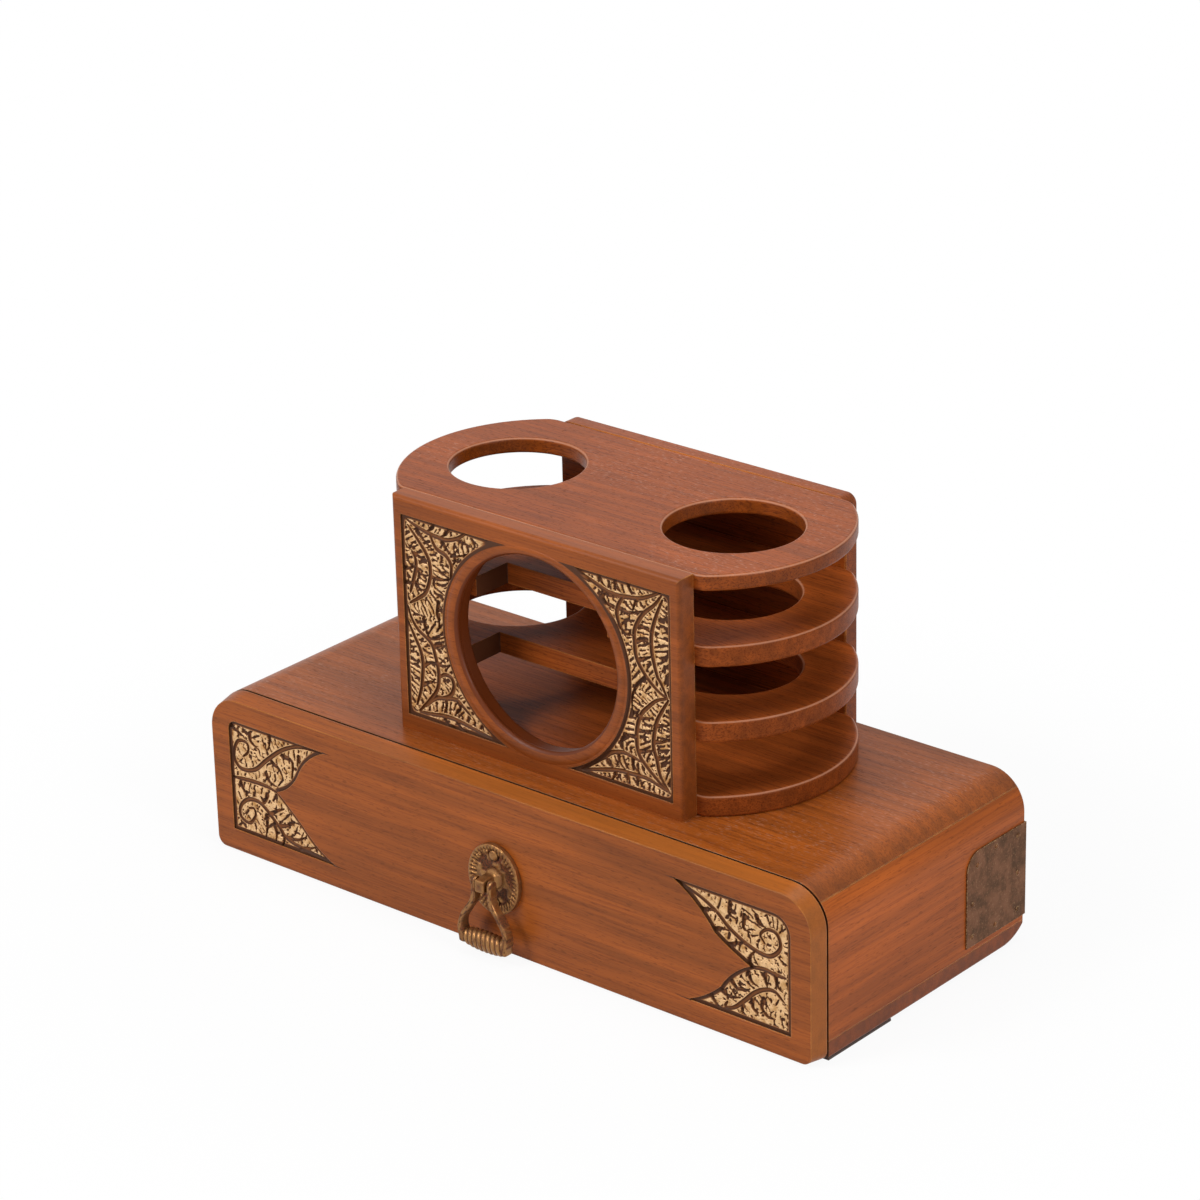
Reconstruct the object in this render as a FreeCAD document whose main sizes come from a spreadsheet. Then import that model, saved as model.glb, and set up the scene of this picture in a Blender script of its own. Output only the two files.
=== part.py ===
"""Wooden desk organizer: a low box with one drawer, and a pen and letter holder on top of it.

Millimetres, +Z up, +X along the box, the drawer opens towards -Y.
The origin is under the middle of the whole object, on the surface that it stands on.
"""
import FreeCAD, Part
import math
import os
import re
import Sketcher

# Driving dimensions, each set once here and kept in the sheet
SIZES = {
    # Box
    "box_length": 300.0,
    "box_height": 68.0,
    "box_depth": 129.0,
    "corner_round": 15.0,
    "side_thickness": 8.0,
    "top_thickness": 5.5,
    "bottom_thickness": 7.0,
    "back_thickness": 8.0,
    "heel_length": 12.5,
    "heel_rise": 4.5,
    "bottom_edge_round": 1.2,
    "pad_height": 1.0,
    "pad_length": 37.5,
    "pad_width": 12.0,
    "front_pad_inset": 0.4,
    "rear_pad_inset": 14.0,
    # Glued dowel joints
    "dowel_radius": 1.2,
    "dowel_length": 12.0,
    "dowel_bite_share": 0.3,
    "glue_gap": 0.05,
    # Corner plates
    "plate_length": 37.0,
    "plate_return": 22.0,
    "plate_height": 38.5,
    "plate_base": 10.5,
    "plate_round": 8.0,
    "plate_thickness": 0.6,
    "nail_radius": 0.6,
    "nail_length": 4.5,
    "nail_head_radius": 1.2,
    "nail_head_height": 0.5,
    # Pen and letter holder
    "holder_offset": 4.5,
    "holder_front": 20.3,
    "holder_rear": 2.7,
    "panel_length": 140.0,
    "panel_height": 96.0,
    "panel_thickness": 8.0,
    "panel_edge_round": 1.8,
    "ring_radius": 45.0,
    "ring_bore_radius": 40.0,
    "ring_height": 48.9,
    "field_side_margin": 4.6,
    "field_top_margin": 7.0,
    "field_bottom_margin": 6.5,
    "shelf_thickness": 8.4,
    "top_shelf_thickness": 6.3,
    "end_reach": 26.0,
    "end_corner_radius": 9.0,
    "pen_hole_radius": 26.3,
    "pen_hole_offset": 52.7,
    "middle_shelf_shift": 3.2,
    "middle_hole_setback": 2.0,
    "lower_notch_length": 74.0,
    "upper_notch_length": 64.0,
    "notch_setback": 27.5,
    "shelf_edge_round": 1.2,
    # Screws
    "screw_radius": 1.5,
    "screw_head_radius": 3.0,
    "screw_head_height": 2.0,
    "screw_bite": 5.0,
    "holder_screw_length_inset": 25.0,
    "holder_screw_depth_inset": 15.0,
    "front_screw_spacing": 120.0,
    "front_screw_rise_share": 0.3,
    # Drawer
    "front_thickness": 7.6,
    "front_gap": 1.0,
    "front_clearance": 0.4,
    "front_toe_round": 4.0,
    "front_top_slope": 1.7,
    "front_end_slope": 1.3,
    "front_foot_slope": 0.5,
    "carving_depth": 1.8,
    "leaf_length": 54.6,
    "leaf_end_margin": 10.4,
    "leaf_top_margin": 10.5,
    "leaf_bottom_margin": 9.0,
    "leaf_corner_round": 8.0,
    "left_leaf_corner_round": 4.0,
    "drawer_side_gap": 0.6,
    "drawer_top_gap": 2.4,
    "drawer_run_gap": 0.2,
    "drawer_rear_gap": 1.4,
    "drawer_wall": 6.0,
    "drawer_floor": 3.0,
    "floor_rise": 3.0,
    "groove_depth": 3.0,
    "groove_gap": 0.1,
    "pin_radius": 0.8,
    "pin_bite": 8.0,
    # Drop pull
    "pull_height": 31.0,
    "backplate_width": 25.0,
    "backplate_height": 28.8,
    "backplate_thickness": 1.4,
    "backplate_rim": 2.2,
    "backplate_rim_rise": 1.0,
    "plate_nail_radius": 0.7,
    "plate_nail_head_radius": 2.1,
    "plate_nail_head_height": 1.0,
    "plate_nail_length": 6.0,
    "plate_nail_inset": 4.6,
    "post_width": 4.6,
    "post_height": 6.0,
    "post_nose": 2.8,
    "post_nose_round": 1.6,
    "post_collar_radius": 4.2,
    "post_collar_height": 1.4,
    "pivot_out": 7.4,
    "pivot_radius": 1.25,
    "pivot_gap": 0.05,
    "bolt_radius": 2.0,
    "bolt_end": 1.0,
    "washer_radius": 4.5,
    "washer_thickness": 0.8,
    "nut_width": 7.0,
    "nut_thickness": 3.2,
    "bail_width": 24.0,
    "bail_drop": 23.6,
    "bail_arm_width": 2.6,
    "bail_depth": 4.6,
    "bail_side_gap": 0.3,
    "bail_eye_rise": 2.6,
    "bail_peg_gap": 0.3,
    "grip_radius": 3.0,
    "grip_core_radius": 2.5,
    "grip_rib_length": 1.4,
    # Length by which every cutting shape runs past what it cuts
    "overrun": 1.0,
}

# Places worked out from the sizes, as formulas in the sheet
PLACES = {
    "half_length": "box_length / 2",
    "face_y": "(pivot_out + grip_radius - box_depth - plate_thickness - nail_head_height) / 2",
    "carcase_front": "face_y + front_thickness + front_gap",
    "carcase_rear": "face_y + box_depth",
    "carcase_depth": "box_depth - front_thickness - front_gap",
    "side_base": "pad_height + bottom_thickness",
    "top_joint": "box_height - top_thickness",
    "side_height": "top_joint - side_base",
    "round_foot": "box_height - corner_round",
    "round_head": "half_length - corner_round",
    "joint_half": "round_head + sqrt(corner_round ^ 2 - (corner_round - top_thickness) ^ 2)",
    "inner_half": "half_length - side_thickness",
    "back_face": "carcase_rear - back_thickness",
    "heel_round": "(heel_length ^ 2 + heel_rise ^ 2) / (2 * heel_rise)",
    "dowel_bite": "dowel_length * dowel_bite_share",
    "panel_y": "face_y + holder_front",
    "holder_inner_depth": "box_depth - holder_front - holder_rear - 2 * panel_thickness",
    "shelf_front": "panel_y + panel_thickness",
    "half_depth": "holder_inner_depth / 2",
    "shelf_y": "shelf_front + half_depth",
    "rear_panel_y": "shelf_front + holder_inner_depth",
    "half_panel": "panel_length / 2",
    "shelf_gap": "(panel_height - top_shelf_thickness - 3 * shelf_thickness) / 3",
    "shelf_pitch": "shelf_thickness + shelf_gap",
    "top_shelf_level": "box_height + panel_height - top_shelf_thickness",
    "tip_radius": "(end_reach ^ 2 + half_depth ^ 2 - holder_inner_depth * end_corner_radius)"
                  " / (2 * (end_reach - end_corner_radius))",
    "tip_centre": "half_panel + end_reach - tip_radius",
    "tip_share": "tip_radius / (tip_radius - end_corner_radius)",
    "tip_x": "tip_centre + (half_panel - tip_centre) * tip_share",
    "tip_y": "(half_depth - end_corner_radius) * tip_share",
    "notch_depth": "half_depth - notch_setback",
    "face_half": "half_length - front_end_slope",
    "face_top": "box_height - front_top_slope",
    "face_foot": "front_clearance + front_foot_slope",
    "face_round": "corner_round - front_end_slope",
    "field_x": "half_panel - field_side_margin",
    "field_top": "panel_height - field_top_margin",
    "field_top_x": "sqrt(ring_radius ^ 2 - (field_top - ring_height) ^ 2)",
    "field_bottom_x": "sqrt(ring_radius ^ 2 - (ring_height - field_bottom_margin) ^ 2)",
    "leaf_x": "half_length - leaf_end_margin",
    "leaf_top": "box_height - leaf_top_margin",
    "leaf_bottom": "pad_height + leaf_bottom_margin",
    "leaf_height": "leaf_top - leaf_bottom",
    "drawer_half": "inner_half - drawer_side_gap",
    "drawer_inner_half": "drawer_half - drawer_wall",
    "drawer_base": "side_base + drawer_run_gap",
    "drawer_height": "top_joint - drawer_top_gap - drawer_base",
    "drawer_y": "face_y + front_thickness",
    "drawer_rear": "back_face - drawer_rear_gap",
    "drawer_depth": "drawer_rear - drawer_y",
    "floor_base": "drawer_base + floor_rise",
    "front_inside": "drawer_y + drawer_wall",
    "pivot_y": "face_y - pivot_out",
    "dish_y": "face_y - backplate_thickness",
    "bail_inside": "post_width / 2 + bail_side_gap",
    "half_bail": "bail_width / 2",
    "grip_half": "half_bail - bail_arm_width",
}

# Corner nails of a brass plate, as shares of its length and height from the rear bottom corner
SIDE_NAIL_SHARES = [(0.12, 0.1), (0.12, 0.5), (0.12, 0.9), (0.5, 0.08), (0.5, 0.92), (0.9, 0.1),
                    (0.9, 0.45), (0.82, 0.84)]
RETURN_NAIL_SHARES = [(0.85, 0.1), (0.85, 0.5), (0.82, 0.84)]
# Places of dowels and pins along the edge that they join, as shares of that edge
EDGE_DOWEL_SHARES = [0.12, 0.5, 0.88]
BACK_DOWEL_SHARES = [0.25, 0.75]
CORNER_PIN_SHARES = [0.3, 0.75]
# Inner edge of each pair of carved leaves, from the upper tip by way of the cusp to the lower tip, as shares
# of the pair's length, from its outer end, and of its height
RIGHT_EDGE_SHARES = [(0.99, 1), (0.635, 0.655), (0.337, 0.476), (0.59, 0.208), (0.87, 0)]
LEFT_EDGE_SHARES = [(0.958, 1), (0.696, 0.752), (0.46, 0.488), (0.766, 0.181), (1.015, 0)]
# Radii of the four curves between those points, as shares of the chords that they span
RIGHT_CURVE_SHARES = [2.0, 5.0, 1.8, 2.5]
LEFT_CURVE_SHARES = [1.45, 1.24, 6.0, 2.6]
# Which of the four curves bulge out of the leaf, and which bulge in
EDGE_SIDES = [-1, 1, 1, -1]
# Where the bail's arm starts to flare and reaches its full width, as shares of its drop
FLARE_SHARE = 0.4
KNEE_SHARE = 0.8
FLARE_CURVE_SHARE = 1.0
GRIP_RIBS = 7
FUNCTIONS = {"sqrt"}

DOC = FreeCAD.newDocument("DeskOrganizer")
SHEET = DOC.addObject("Spreadsheet::Sheet", "Sizes")
ALONG = {"x": FreeCAD.Vector(1, 0, 0), "y": FreeCAD.Vector(0, 1, 0), "z": FreeCAD.Vector(0, 0, 1),
         "-x": FreeCAD.Vector(-1, 0, 0), "-y": FreeCAD.Vector(0, -1, 0)}
NODES = []


def fill_sheet():
    """Writes every size as a plain number and every place as a formula, each under its alias."""
    row = 0
    for name, number in SIZES.items():
        row += 1
        SHEET.set(f"A{row}", name)
        SHEET.set(f"B{row}", str(number))
        SHEET.setAlias(f"B{row}", name)
    for name, formula in PLACES.items():
        row += 1
        SHEET.set(f"A{row}", name)
        SHEET.set(f"B{row}", "=" + formula)
        SHEET.setAlias(f"B{row}", name)
    DOC.recompute()


def on_sheet(formula):
    """Turns a formula in size names into an expression that reads the sheet."""
    def read(word):
        return word[0] if word[0] in FUNCTIONS else "Sizes." + word[0]

    return re.sub(r"[a-z]\w*", read, formula)


def number(formula):
    """Gives the present value of a formula."""
    return SHEET.evalExpression(on_sheet(formula))


def bind(thing, **sizes):
    for name, formula in sizes.items():
        thing.setExpression(name, on_sheet(formula))


def place(thing, at, turn=None):
    """Binds the place of a thing to three formulas, after turning it."""
    if turn is not None:
        thing.Placement = FreeCAD.Placement(FreeCAD.Vector(), turn)
    for axis, formula in zip("xyz", at):
        thing.setExpression("Placement.Base." + axis, on_sheet(formula))


def node(thing):
    """Marks a thing as one of the object's pieces, whose label names its file."""
    NODES.append(thing)
    return thing


def box(label, size, at):
    thing = DOC.addObject("Part::Box", label)
    bind(thing, Length=size[0], Width=size[1], Height=size[2])
    place(thing, at)
    return thing


def cylinder(label, radius, height, at, along="z"):
    thing = DOC.addObject("Part::Cylinder", label)
    bind(thing, Radius=radius, Height=height)
    place(thing, at, FreeCAD.Rotation(ALONG["z"], ALONG[along]))
    return thing


def cone(label, radius, far_radius, height, at, along="z"):
    thing = DOC.addObject("Part::Cone", label)
    bind(thing, Radius1=radius, Radius2=far_radius, Height=height)
    place(thing, at, FreeCAD.Rotation(ALONG["z"], ALONG[along]))
    return thing


def joined(label, parts):
    thing = DOC.addObject("Part::MultiFuse", label)
    thing.Shapes = parts
    thing.Refine = True
    return thing


def gathered(label, parts):
    thing = DOC.addObject("Part::Compound", label)
    thing.Links = parts
    return thing


def cut(label, base, *tools):
    thing = DOC.addObject("Part::Cut", label)
    thing.Base = base
    thing.Tool = tools[0] if len(tools) == 1 else gathered(label + "_cuts", list(tools))
    return thing


def mirrored(label, source):
    """Gives the left twin of a right-hand piece."""
    thing = DOC.addObject("Part::Mirroring", label)
    thing.Source = source
    thing.Normal = ALONG["x"]
    return thing


def body(label, at):
    thing = DOC.addObject("PartDesign::Body", label)
    place(thing, at)
    return thing


def plane(owner, role):
    return [feature for feature in owner.Origin.OriginFeatures if feature.Role == role][0]


def sketch(owner, role, name):
    thing = owner.newObject("Sketcher::SketchObject", name)
    thing.AttachmentSupport = [(plane(owner, role), "")]
    thing.MapMode = "FlatFace"
    return thing


def hold(thing, kind, refs, formula):
    """Adds a sketch dimension that is bound to a formula."""
    index = thing.addConstraint(Sketcher.Constraint(kind, *refs, number(formula)))
    name = f"size_{index}"
    thing.renameConstraint(index, name)
    thing.setExpression("Constraints." + name, on_sheet(formula))


def arc_through(start, end, radius):
    """Makes the short arc between two points, bulging right of the way, or left for a negative radius."""
    chord = end - start
    middle = (start + end) * 0.5
    left = FreeCAD.Vector(-chord.y, chord.x, 0).normalize()
    side = math.copysign(1, radius)
    rise = abs(radius) - math.sqrt(radius ** 2 - (chord.Length / 2) ** 2)
    return Part.Arc(start, middle - left * side * rise, end)


def outline(thing, corners, curves=None):
    """Draws a closed outline anticlockwise through corners given as pairs of formulas.

    curves gives, for the number of a corner, the radius formula of the arc that leaves it, and +1 where that
    arc bulges out of the outline or -1 where it bulges in.
    """
    curves = curves or {}
    points = [FreeCAD.Vector(number(x), number(y), 0) for x, y in corners]
    ends = []
    for i, start in enumerate(points):
        end = points[(i + 1) % len(points)]
        if i in curves:
            radius, side = curves[i]
            edge = thing.addGeometry(arc_through(start, end, side * number(radius)))
            hold(thing, "Radius", (edge,), radius)
        else:
            edge = thing.addGeometry(Part.LineSegment(start, end))
        gaps = [thing.getPoint(edge, end_number).distanceToPoint(start) for end_number in (1, 2)]
        first = 1 if gaps[0] < gaps[1] else 2
        ends.append((edge, first, 3 - first))
    for i, (x, y) in enumerate(corners):
        edge, first, last = ends[i]
        before, _, before_last = ends[i - 1]
        thing.addConstraint(Sketcher.Constraint("Coincident", before, before_last, edge, first))
        hold(thing, "DistanceX", (-1, 1, edge, first), x)
        hold(thing, "DistanceY", (-1, 1, edge, first), y)


def circle(thing, x, y, radius):
    centre = FreeCAD.Vector(number(x), number(y), 0)
    edge = thing.addGeometry(Part.Circle(centre, ALONG["z"], number(radius)))
    hold(thing, "Radius", (edge,), radius)
    hold(thing, "DistanceX", (-1, 1, edge, 3), x)
    hold(thing, "DistanceY", (-1, 1, edge, 3), y)


def pad(owner, profile, length, flipped=False, midplane=False):
    thing = owner.newObject("PartDesign::Pad", profile.Name + "_pad")
    thing.Profile = profile
    thing.Reversed = flipped
    thing.Midplane = midplane
    bind(thing, Length=length)
    DOC.recompute()
    return thing


def sloped(owner, profile, far_profile):
    """Makes a board whose edges run straight from one outline to another."""
    thing = owner.newObject("PartDesign::AdditiveLoft", profile.Name + "_loft")
    thing.Profile = profile
    thing.Sections = [(far_profile, [""])]
    thing.Ruled = True
    DOC.recompute()
    return thing


def pocket(owner, profile, length):
    thing = owner.newObject("PartDesign::Pocket", profile.Name + "_pocket")
    thing.Profile = profile
    bind(thing, Length=length)
    return thing


def mirror_feature(owner, feature):
    thing = owner.newObject("PartDesign::Mirrored", feature.Name + "_twin")
    thing.Originals = [feature]
    thing.MirrorPlane = (plane(owner, "YZ_Plane"), [""])
    owner.Tip = thing
    DOC.recompute()
    return thing


def rounded(owner, feature, radius, wanted):
    """Rounds the edges of a feature for which wanted(edge) is true."""
    names = [f"Edge{i + 1}" for i, edge in enumerate(feature.Shape.Edges) if wanted(edge)]
    thing = owner.newObject("PartDesign::Fillet", feature.Name + "_round")
    thing.Base = (feature, names)
    bind(thing, Radius=radius)
    DOC.recompute()
    return thing


def lies_on(edge, axis, height):
    """Tells whether a whole edge lies at one height along an axis."""
    limits = edge.BoundBox
    ends = (getattr(limits, axis.upper() + "Min"), getattr(limits, axis.upper() + "Max"))
    return all(abs(end - height) < Part.Precision.approximation() for end in ends)


def screw(label, at, along, length, growth="0"):
    """Makes a countersunk screw, or with growth the hole for it, from its head's middle along its shank."""
    radius, head_radius = f"screw_radius + {growth}", f"screw_head_radius + {growth}"
    shank = cylinder(label + "_shank", radius, f"{length} + {growth}", at, along)
    head = cone(label + "_head", head_radius, radius, "screw_head_height", at, along)
    return joined(label, [shank, head])


def nail(label, at, along, radius, length, head_radius, head_height):
    """Makes a nail whose shank runs from the seat of its head along the way it is driven."""
    shank = cylinder(label + "_shank", radius, length, at, along)
    back = "-" + along if along in "xyz" else along[1:]
    head = cone(label + "_head", head_radius, f"{head_radius} / 2", head_height, at, back)
    return joined(label, [shank, head])


def nail_hole(label, at, along, radius, length):
    return cylinder(label, f"{radius} + glue_gap", f"{length} + glue_gap", at, along)


def peg_and_hole(label, at, along):
    """Makes a dowel from its first end, and the hole for it, longer at both ends by the glue gap."""
    axis = along[-1]
    away = "+" if along[0] == "-" else "-"
    deeper = [f"{f} {away} glue_gap" if name == axis else f for name, f in zip("xyz", at)]
    dowel = cylinder(label, "dowel_radius", "dowel_length", at, along)
    hole = cylinder(label + "_hole", "dowel_radius + glue_gap", "dowel_length + 2 * glue_gap",
                    deeper, along)
    return dowel, hole


def make_box():
    """The box: boards joined with blind dowels, felt pads under it, a brass plate at each rear corner."""
    dowels, holes = [], []
    for sign in ("-", "+"):
        for i, share in enumerate(EDGE_DOWEL_SHARES):
            along_y = f"carcase_front + carcase_depth * {share}"
            at = (f"{sign}(half_length - side_thickness / 2)", along_y, "side_base - dowel_bite")
            dowel, hole = peg_and_hole(f"box_dowel_foot_{i}", at, "z")
            dowels.append(dowel)
            holes.append(hole)
        for i, share in enumerate(BACK_DOWEL_SHARES):
            at = (f"{sign}(inner_half + dowel_bite)", "carcase_rear - back_thickness / 2",
                  f"side_base + side_height * {share}")
            dowel, hole = peg_and_hole(f"box_dowel_back_{i}", at, "-x" if sign == "+" else "x")
            dowels.append(dowel)
            holes.append(hole)
    for i, share in enumerate(EDGE_DOWEL_SHARES):
        at = (f"inner_half * (2 * {share} - 1)", "carcase_rear - back_thickness / 2",
              "top_joint + dowel_bite - dowel_length")
        dowel, hole = peg_and_hole(f"box_dowel_head_{i}", at, "z")
        dowels.append(dowel)
        holes.append(hole)
    node(gathered("box_dowels", dowels))
    drilled = gathered("box_dowel_holes", holes)
    nails, nail_holes = plate_nails()
    node(gathered("corner_plate_nails", nails))
    nailed = gathered("corner_plate_nail_holes", nail_holes)
    screws, screw_holes = holder_screws()
    node(gathered("holder_screws", screws))
    screwed = gathered("holder_screw_holes", screw_holes)

    top = body("top_board_blank", ("0", "carcase_front", "0"))
    profile = sketch(top, "XZ_Plane", "top_profile")
    outline(profile, [("-joint_half", "top_joint"), ("joint_half", "top_joint"),
                      ("round_head", "box_height"), ("-round_head", "box_height")],
            {1: ("corner_round", 1), 3: ("corner_round", 1)})
    pad(top, profile, "carcase_depth", flipped=True)
    node(cut("top_board", top, drilled, screwed))

    side = body("side_board_blank", ("0", "carcase_front", "0"))
    profile = sketch(side, "XZ_Plane", "side_profile")
    outline(profile, [("inner_half", "side_base"), ("half_length", "side_base"),
                      ("half_length", "round_foot"), ("joint_half", "top_joint"),
                      ("inner_half", "top_joint")],
            {2: ("corner_round", 1)})
    pad(side, profile, "carcase_depth", flipped=True)
    right = node(cut("right_side_board", side, drilled, nailed))
    node(mirrored("left_side_board", right))

    back = box("back_board_blank", ("2 * inner_half", "back_thickness", "side_height"),
               ("-inner_half", "back_face", "side_base"))
    node(cut("back_board", back, drilled, nailed))

    bottom = body("bottom_board_blank", ("-half_length", "carcase_front", "pad_height"))
    ends = (0, number("box_length"))
    profile = sketch(bottom, "YZ_Plane", "bottom_profile")
    outline(profile, [("0", "0"), ("carcase_depth - heel_length", "0"), ("carcase_depth", "heel_rise"),
                      ("carcase_depth", "bottom_thickness"), ("0", "bottom_thickness")],
            {1: ("heel_round", 1)})
    board = pad(bottom, profile, "box_length")
    rounded(bottom, board, "bottom_edge_round",
            lambda edge: lies_on(edge, "z", 0) and any(lies_on(edge, "x", end) for end in ends))
    node(cut("bottom_board", bottom, drilled))

    pads = []
    for sign in ("-", "+"):
        for inset, along_y in (("front_pad_inset", "carcase_front + front_pad_inset"),
                               ("rear_pad_inset", "carcase_rear - rear_pad_inset - pad_length")):
            edge = f"{sign}(half_length - {inset} - pad_width / 2) - pad_width / 2"
            pads.append(box("felt_pad", ("pad_width", "pad_length", "pad_height"), (edge, along_y, "0")))
    node(gathered("felt_pads", pads))
    corner_plates(nailed)


def plate_nails():
    """Nails of both corner plates, from the plate's face into the boards, and the holes that they fill."""
    drives = []
    for sign in ("-", "+"):
        for along, up in SIDE_NAIL_SHARES:
            at = (f"{sign}(half_length + plate_thickness)", f"carcase_rear - plate_length * {along}",
                  f"plate_base + plate_height * {up}")
            drives.append((at, "-x" if sign == "+" else "x"))
        for along, up in RETURN_NAIL_SHARES:
            at = (f"{sign}(half_length - plate_return * {along})", "carcase_rear + plate_thickness",
                  f"plate_base + plate_height * {up}")
            drives.append((at, "-y"))
    shape = ("nail_radius", "nail_length", "nail_head_radius", "nail_head_height")
    nails = [nail("plate_nail", at, inwards, *shape) for at, inwards in drives]
    holes = [nail_hole("plate_nail_hole", at, inwards, *shape[:2]) for at, inwards in drives]
    return nails, holes


def corner_plates(nailed):
    """Sheet brass bent round the rear corners, with its free upper corners rounded."""
    plate = body("corner_plate_blank", ("half_length", "carcase_rear", "plate_base"))
    flank = sketch(plate, "YZ_Plane", "plate_flank")
    leaf = sketch(plate, "XZ_Plane", "plate_rear_leaf")
    for profile, reach in ((flank, "plate_length"), (leaf, "plate_return")):
        outline(profile, [(f"-{reach}", "0"), ("plate_thickness", "0"),
                          ("plate_thickness", "plate_height"), (f"plate_round - {reach}", "plate_height"),
                          (f"-{reach}", "plate_height - plate_round")], {3: ("plate_round", 1)})
        pad(plate, profile, "plate_thickness", flipped=profile is leaf)
    right = node(cut("right_corner_plate", plate, nailed))
    node(mirrored("left_corner_plate", right))


def holder_screws():
    """Screws up through the box's top into the bottom shelf, and the holes that they fill."""
    screws, holes = [], []
    length = "top_thickness + screw_bite"
    for x in ("-", "+"):
        for y in ("-", "+"):
            at = (f"holder_offset {x} (half_panel - holder_screw_length_inset)",
                  f"shelf_y {y} (half_depth - holder_screw_depth_inset)", "top_joint")
            screws.append(screw("holder_screw", at, "z", length))
            holes.append(screw("holder_screw_hole", at, "z", length, "glue_gap"))
    return screws, holes


def shelf_blank(label, level, thickness, pierced, notch):
    """A shelf with drawn-out round ends: each end is a wide arc between two corner arcs, all tangent.

    A shelf with a notch has its notch and holes a little left of the panels' middle, and its holes further back.
    """
    owner = body(label, ("holder_offset", "shelf_y", level))
    plan = sketch(owner, "XY_Plane", label + "_plan")
    corners = [("-half_panel", "-half_depth")]
    middle, hole_y = "0", "0"
    if notch:
        middle, hole_y = "-middle_shelf_shift", "middle_hole_setback"
        left, right, rear = f"{middle} - {notch} / 2", f"{middle} + {notch} / 2", "notch_depth - half_depth"
        corners += [(left, "-half_depth"), (left, rear), (right, rear), (right, "-half_depth")]
    first = len(corners)
    corners += [("half_panel", "-half_depth"), ("tip_x", "-tip_y"), ("tip_x", "tip_y"),
                ("half_panel", "half_depth"), ("-half_panel", "half_depth"), ("-tip_x", "tip_y"),
                ("-tip_x", "-tip_y")]
    curves = {}
    for start in (first, first + 4):
        curves.update({start: ("end_corner_radius", 1), start + 1: ("tip_radius", 1)})
        curves[start + 2] = ("end_corner_radius", 1)
    outline(plan, corners, curves)
    if pierced:
        circle(plan, f"{middle} - pen_hole_offset", hole_y, "pen_hole_radius")
        circle(plan, f"{middle} + pen_hole_offset", hole_y, "pen_hole_radius")
    board = pad(owner, plan, thickness)
    faces = (0, number(thickness))

    def rim(edge):
        flat = any(lies_on(edge, "z", face) for face in faces)
        straight = isinstance(edge.Curve, Part.Line)
        outer = any(lies_on(edge, "y", side * number("half_depth")) for side in (-1, 1))
        return flat and (outer or not straight)

    rounded(owner, board, "shelf_edge_round", rim)
    return owner


def make_holder():
    """The holder: two upright panels with four shelves doweled between them."""
    shelves = [("bottom_shelf", "box_height", "shelf_thickness", False, None),
               ("lower_middle_shelf", "box_height + shelf_pitch", "shelf_thickness", True,
                "lower_notch_length"),
               ("upper_middle_shelf", "box_height + 2 * shelf_pitch", "shelf_thickness", True,
                "upper_notch_length"),
               ("top_shelf", "top_shelf_level", "top_shelf_thickness", True, None)]
    dowels, holes = [], []
    for label, level, thickness, _, _ in shelves:
        for sign in ("-", "+"):
            x, z = f"holder_offset {sign} pen_hole_offset", f"{level} + {thickness} / 2"
            for side, at, along in (("front", (x, "shelf_front - dowel_bite", z), "y"),
                                    ("rear", (x, "rear_panel_y + dowel_bite", z), "-y")):
                dowel, hole = peg_and_hole(f"{label}_{side}_dowel", at, along)
                dowels.append(dowel)
                holes.append(hole)
    node(gathered("holder_dowels", dowels))
    drilled = gathered("holder_dowel_holes", holes)
    screwed = DOC.getObject("holder_screw_holes")
    for label, level, thickness, pierced, notch in shelves:
        blank = shelf_blank(label + "_blank", level, thickness, pierced, notch)
        tools = (drilled,) if label != "bottom_shelf" else (drilled, screwed)
        node(cut(label, blank, *tools))

    front = body("front_panel_blank", ("holder_offset", "panel_y", "box_height"))
    face = sketch(front, "XZ_Plane", "front_panel_face")
    panel_corners = [("-half_panel", "0"), ("half_panel", "0"), ("half_panel", "panel_height"),
                     ("-half_panel", "panel_height")]
    outline(face, panel_corners)
    circle(face, "0", "ring_height", "ring_bore_radius")
    board = pad(front, face, "panel_thickness", flipped=True)
    rounded(front, board, "panel_edge_round",
            lambda edge: lies_on(edge, "y", 0) and not lies_on(edge, "z", 0))
    field = sketch(front, "XZ_Plane", "carved_field")
    outline(field, [("field_bottom_x", "field_bottom_margin"), ("field_x", "field_bottom_margin"),
                    ("field_x", "field_top"), ("field_top_x", "field_top")], {3: ("ring_radius", -1)})
    mirror_feature(front, pocket(front, field, "carving_depth"))
    node(cut("front_panel", front, drilled))

    rear = body("back_panel_blank", ("holder_offset", "rear_panel_y", "box_height"))
    face = sketch(rear, "XZ_Plane", "back_panel_face")
    outline(face, panel_corners)
    board = pad(rear, face, "panel_thickness", flipped=True)
    far = number("panel_thickness")
    rounded(rear, board, "panel_edge_round",
            lambda edge: lies_on(edge, "y", far) and not lies_on(edge, "z", 0))
    node(cut("back_panel", rear, drilled))


def chord(start, end):
    """Formula for the distance between two points that are given as pairs of formulas."""
    return f"sqrt((({end[0]}) - ({start[0]})) ^ 2 + (({end[1]}) - ({start[1]})) ^ 2)"


def leaf_point(shares):
    along, up = shares
    return f"leaf_x - leaf_length * {along}", f"leaf_bottom + leaf_height * {up}"


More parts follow.
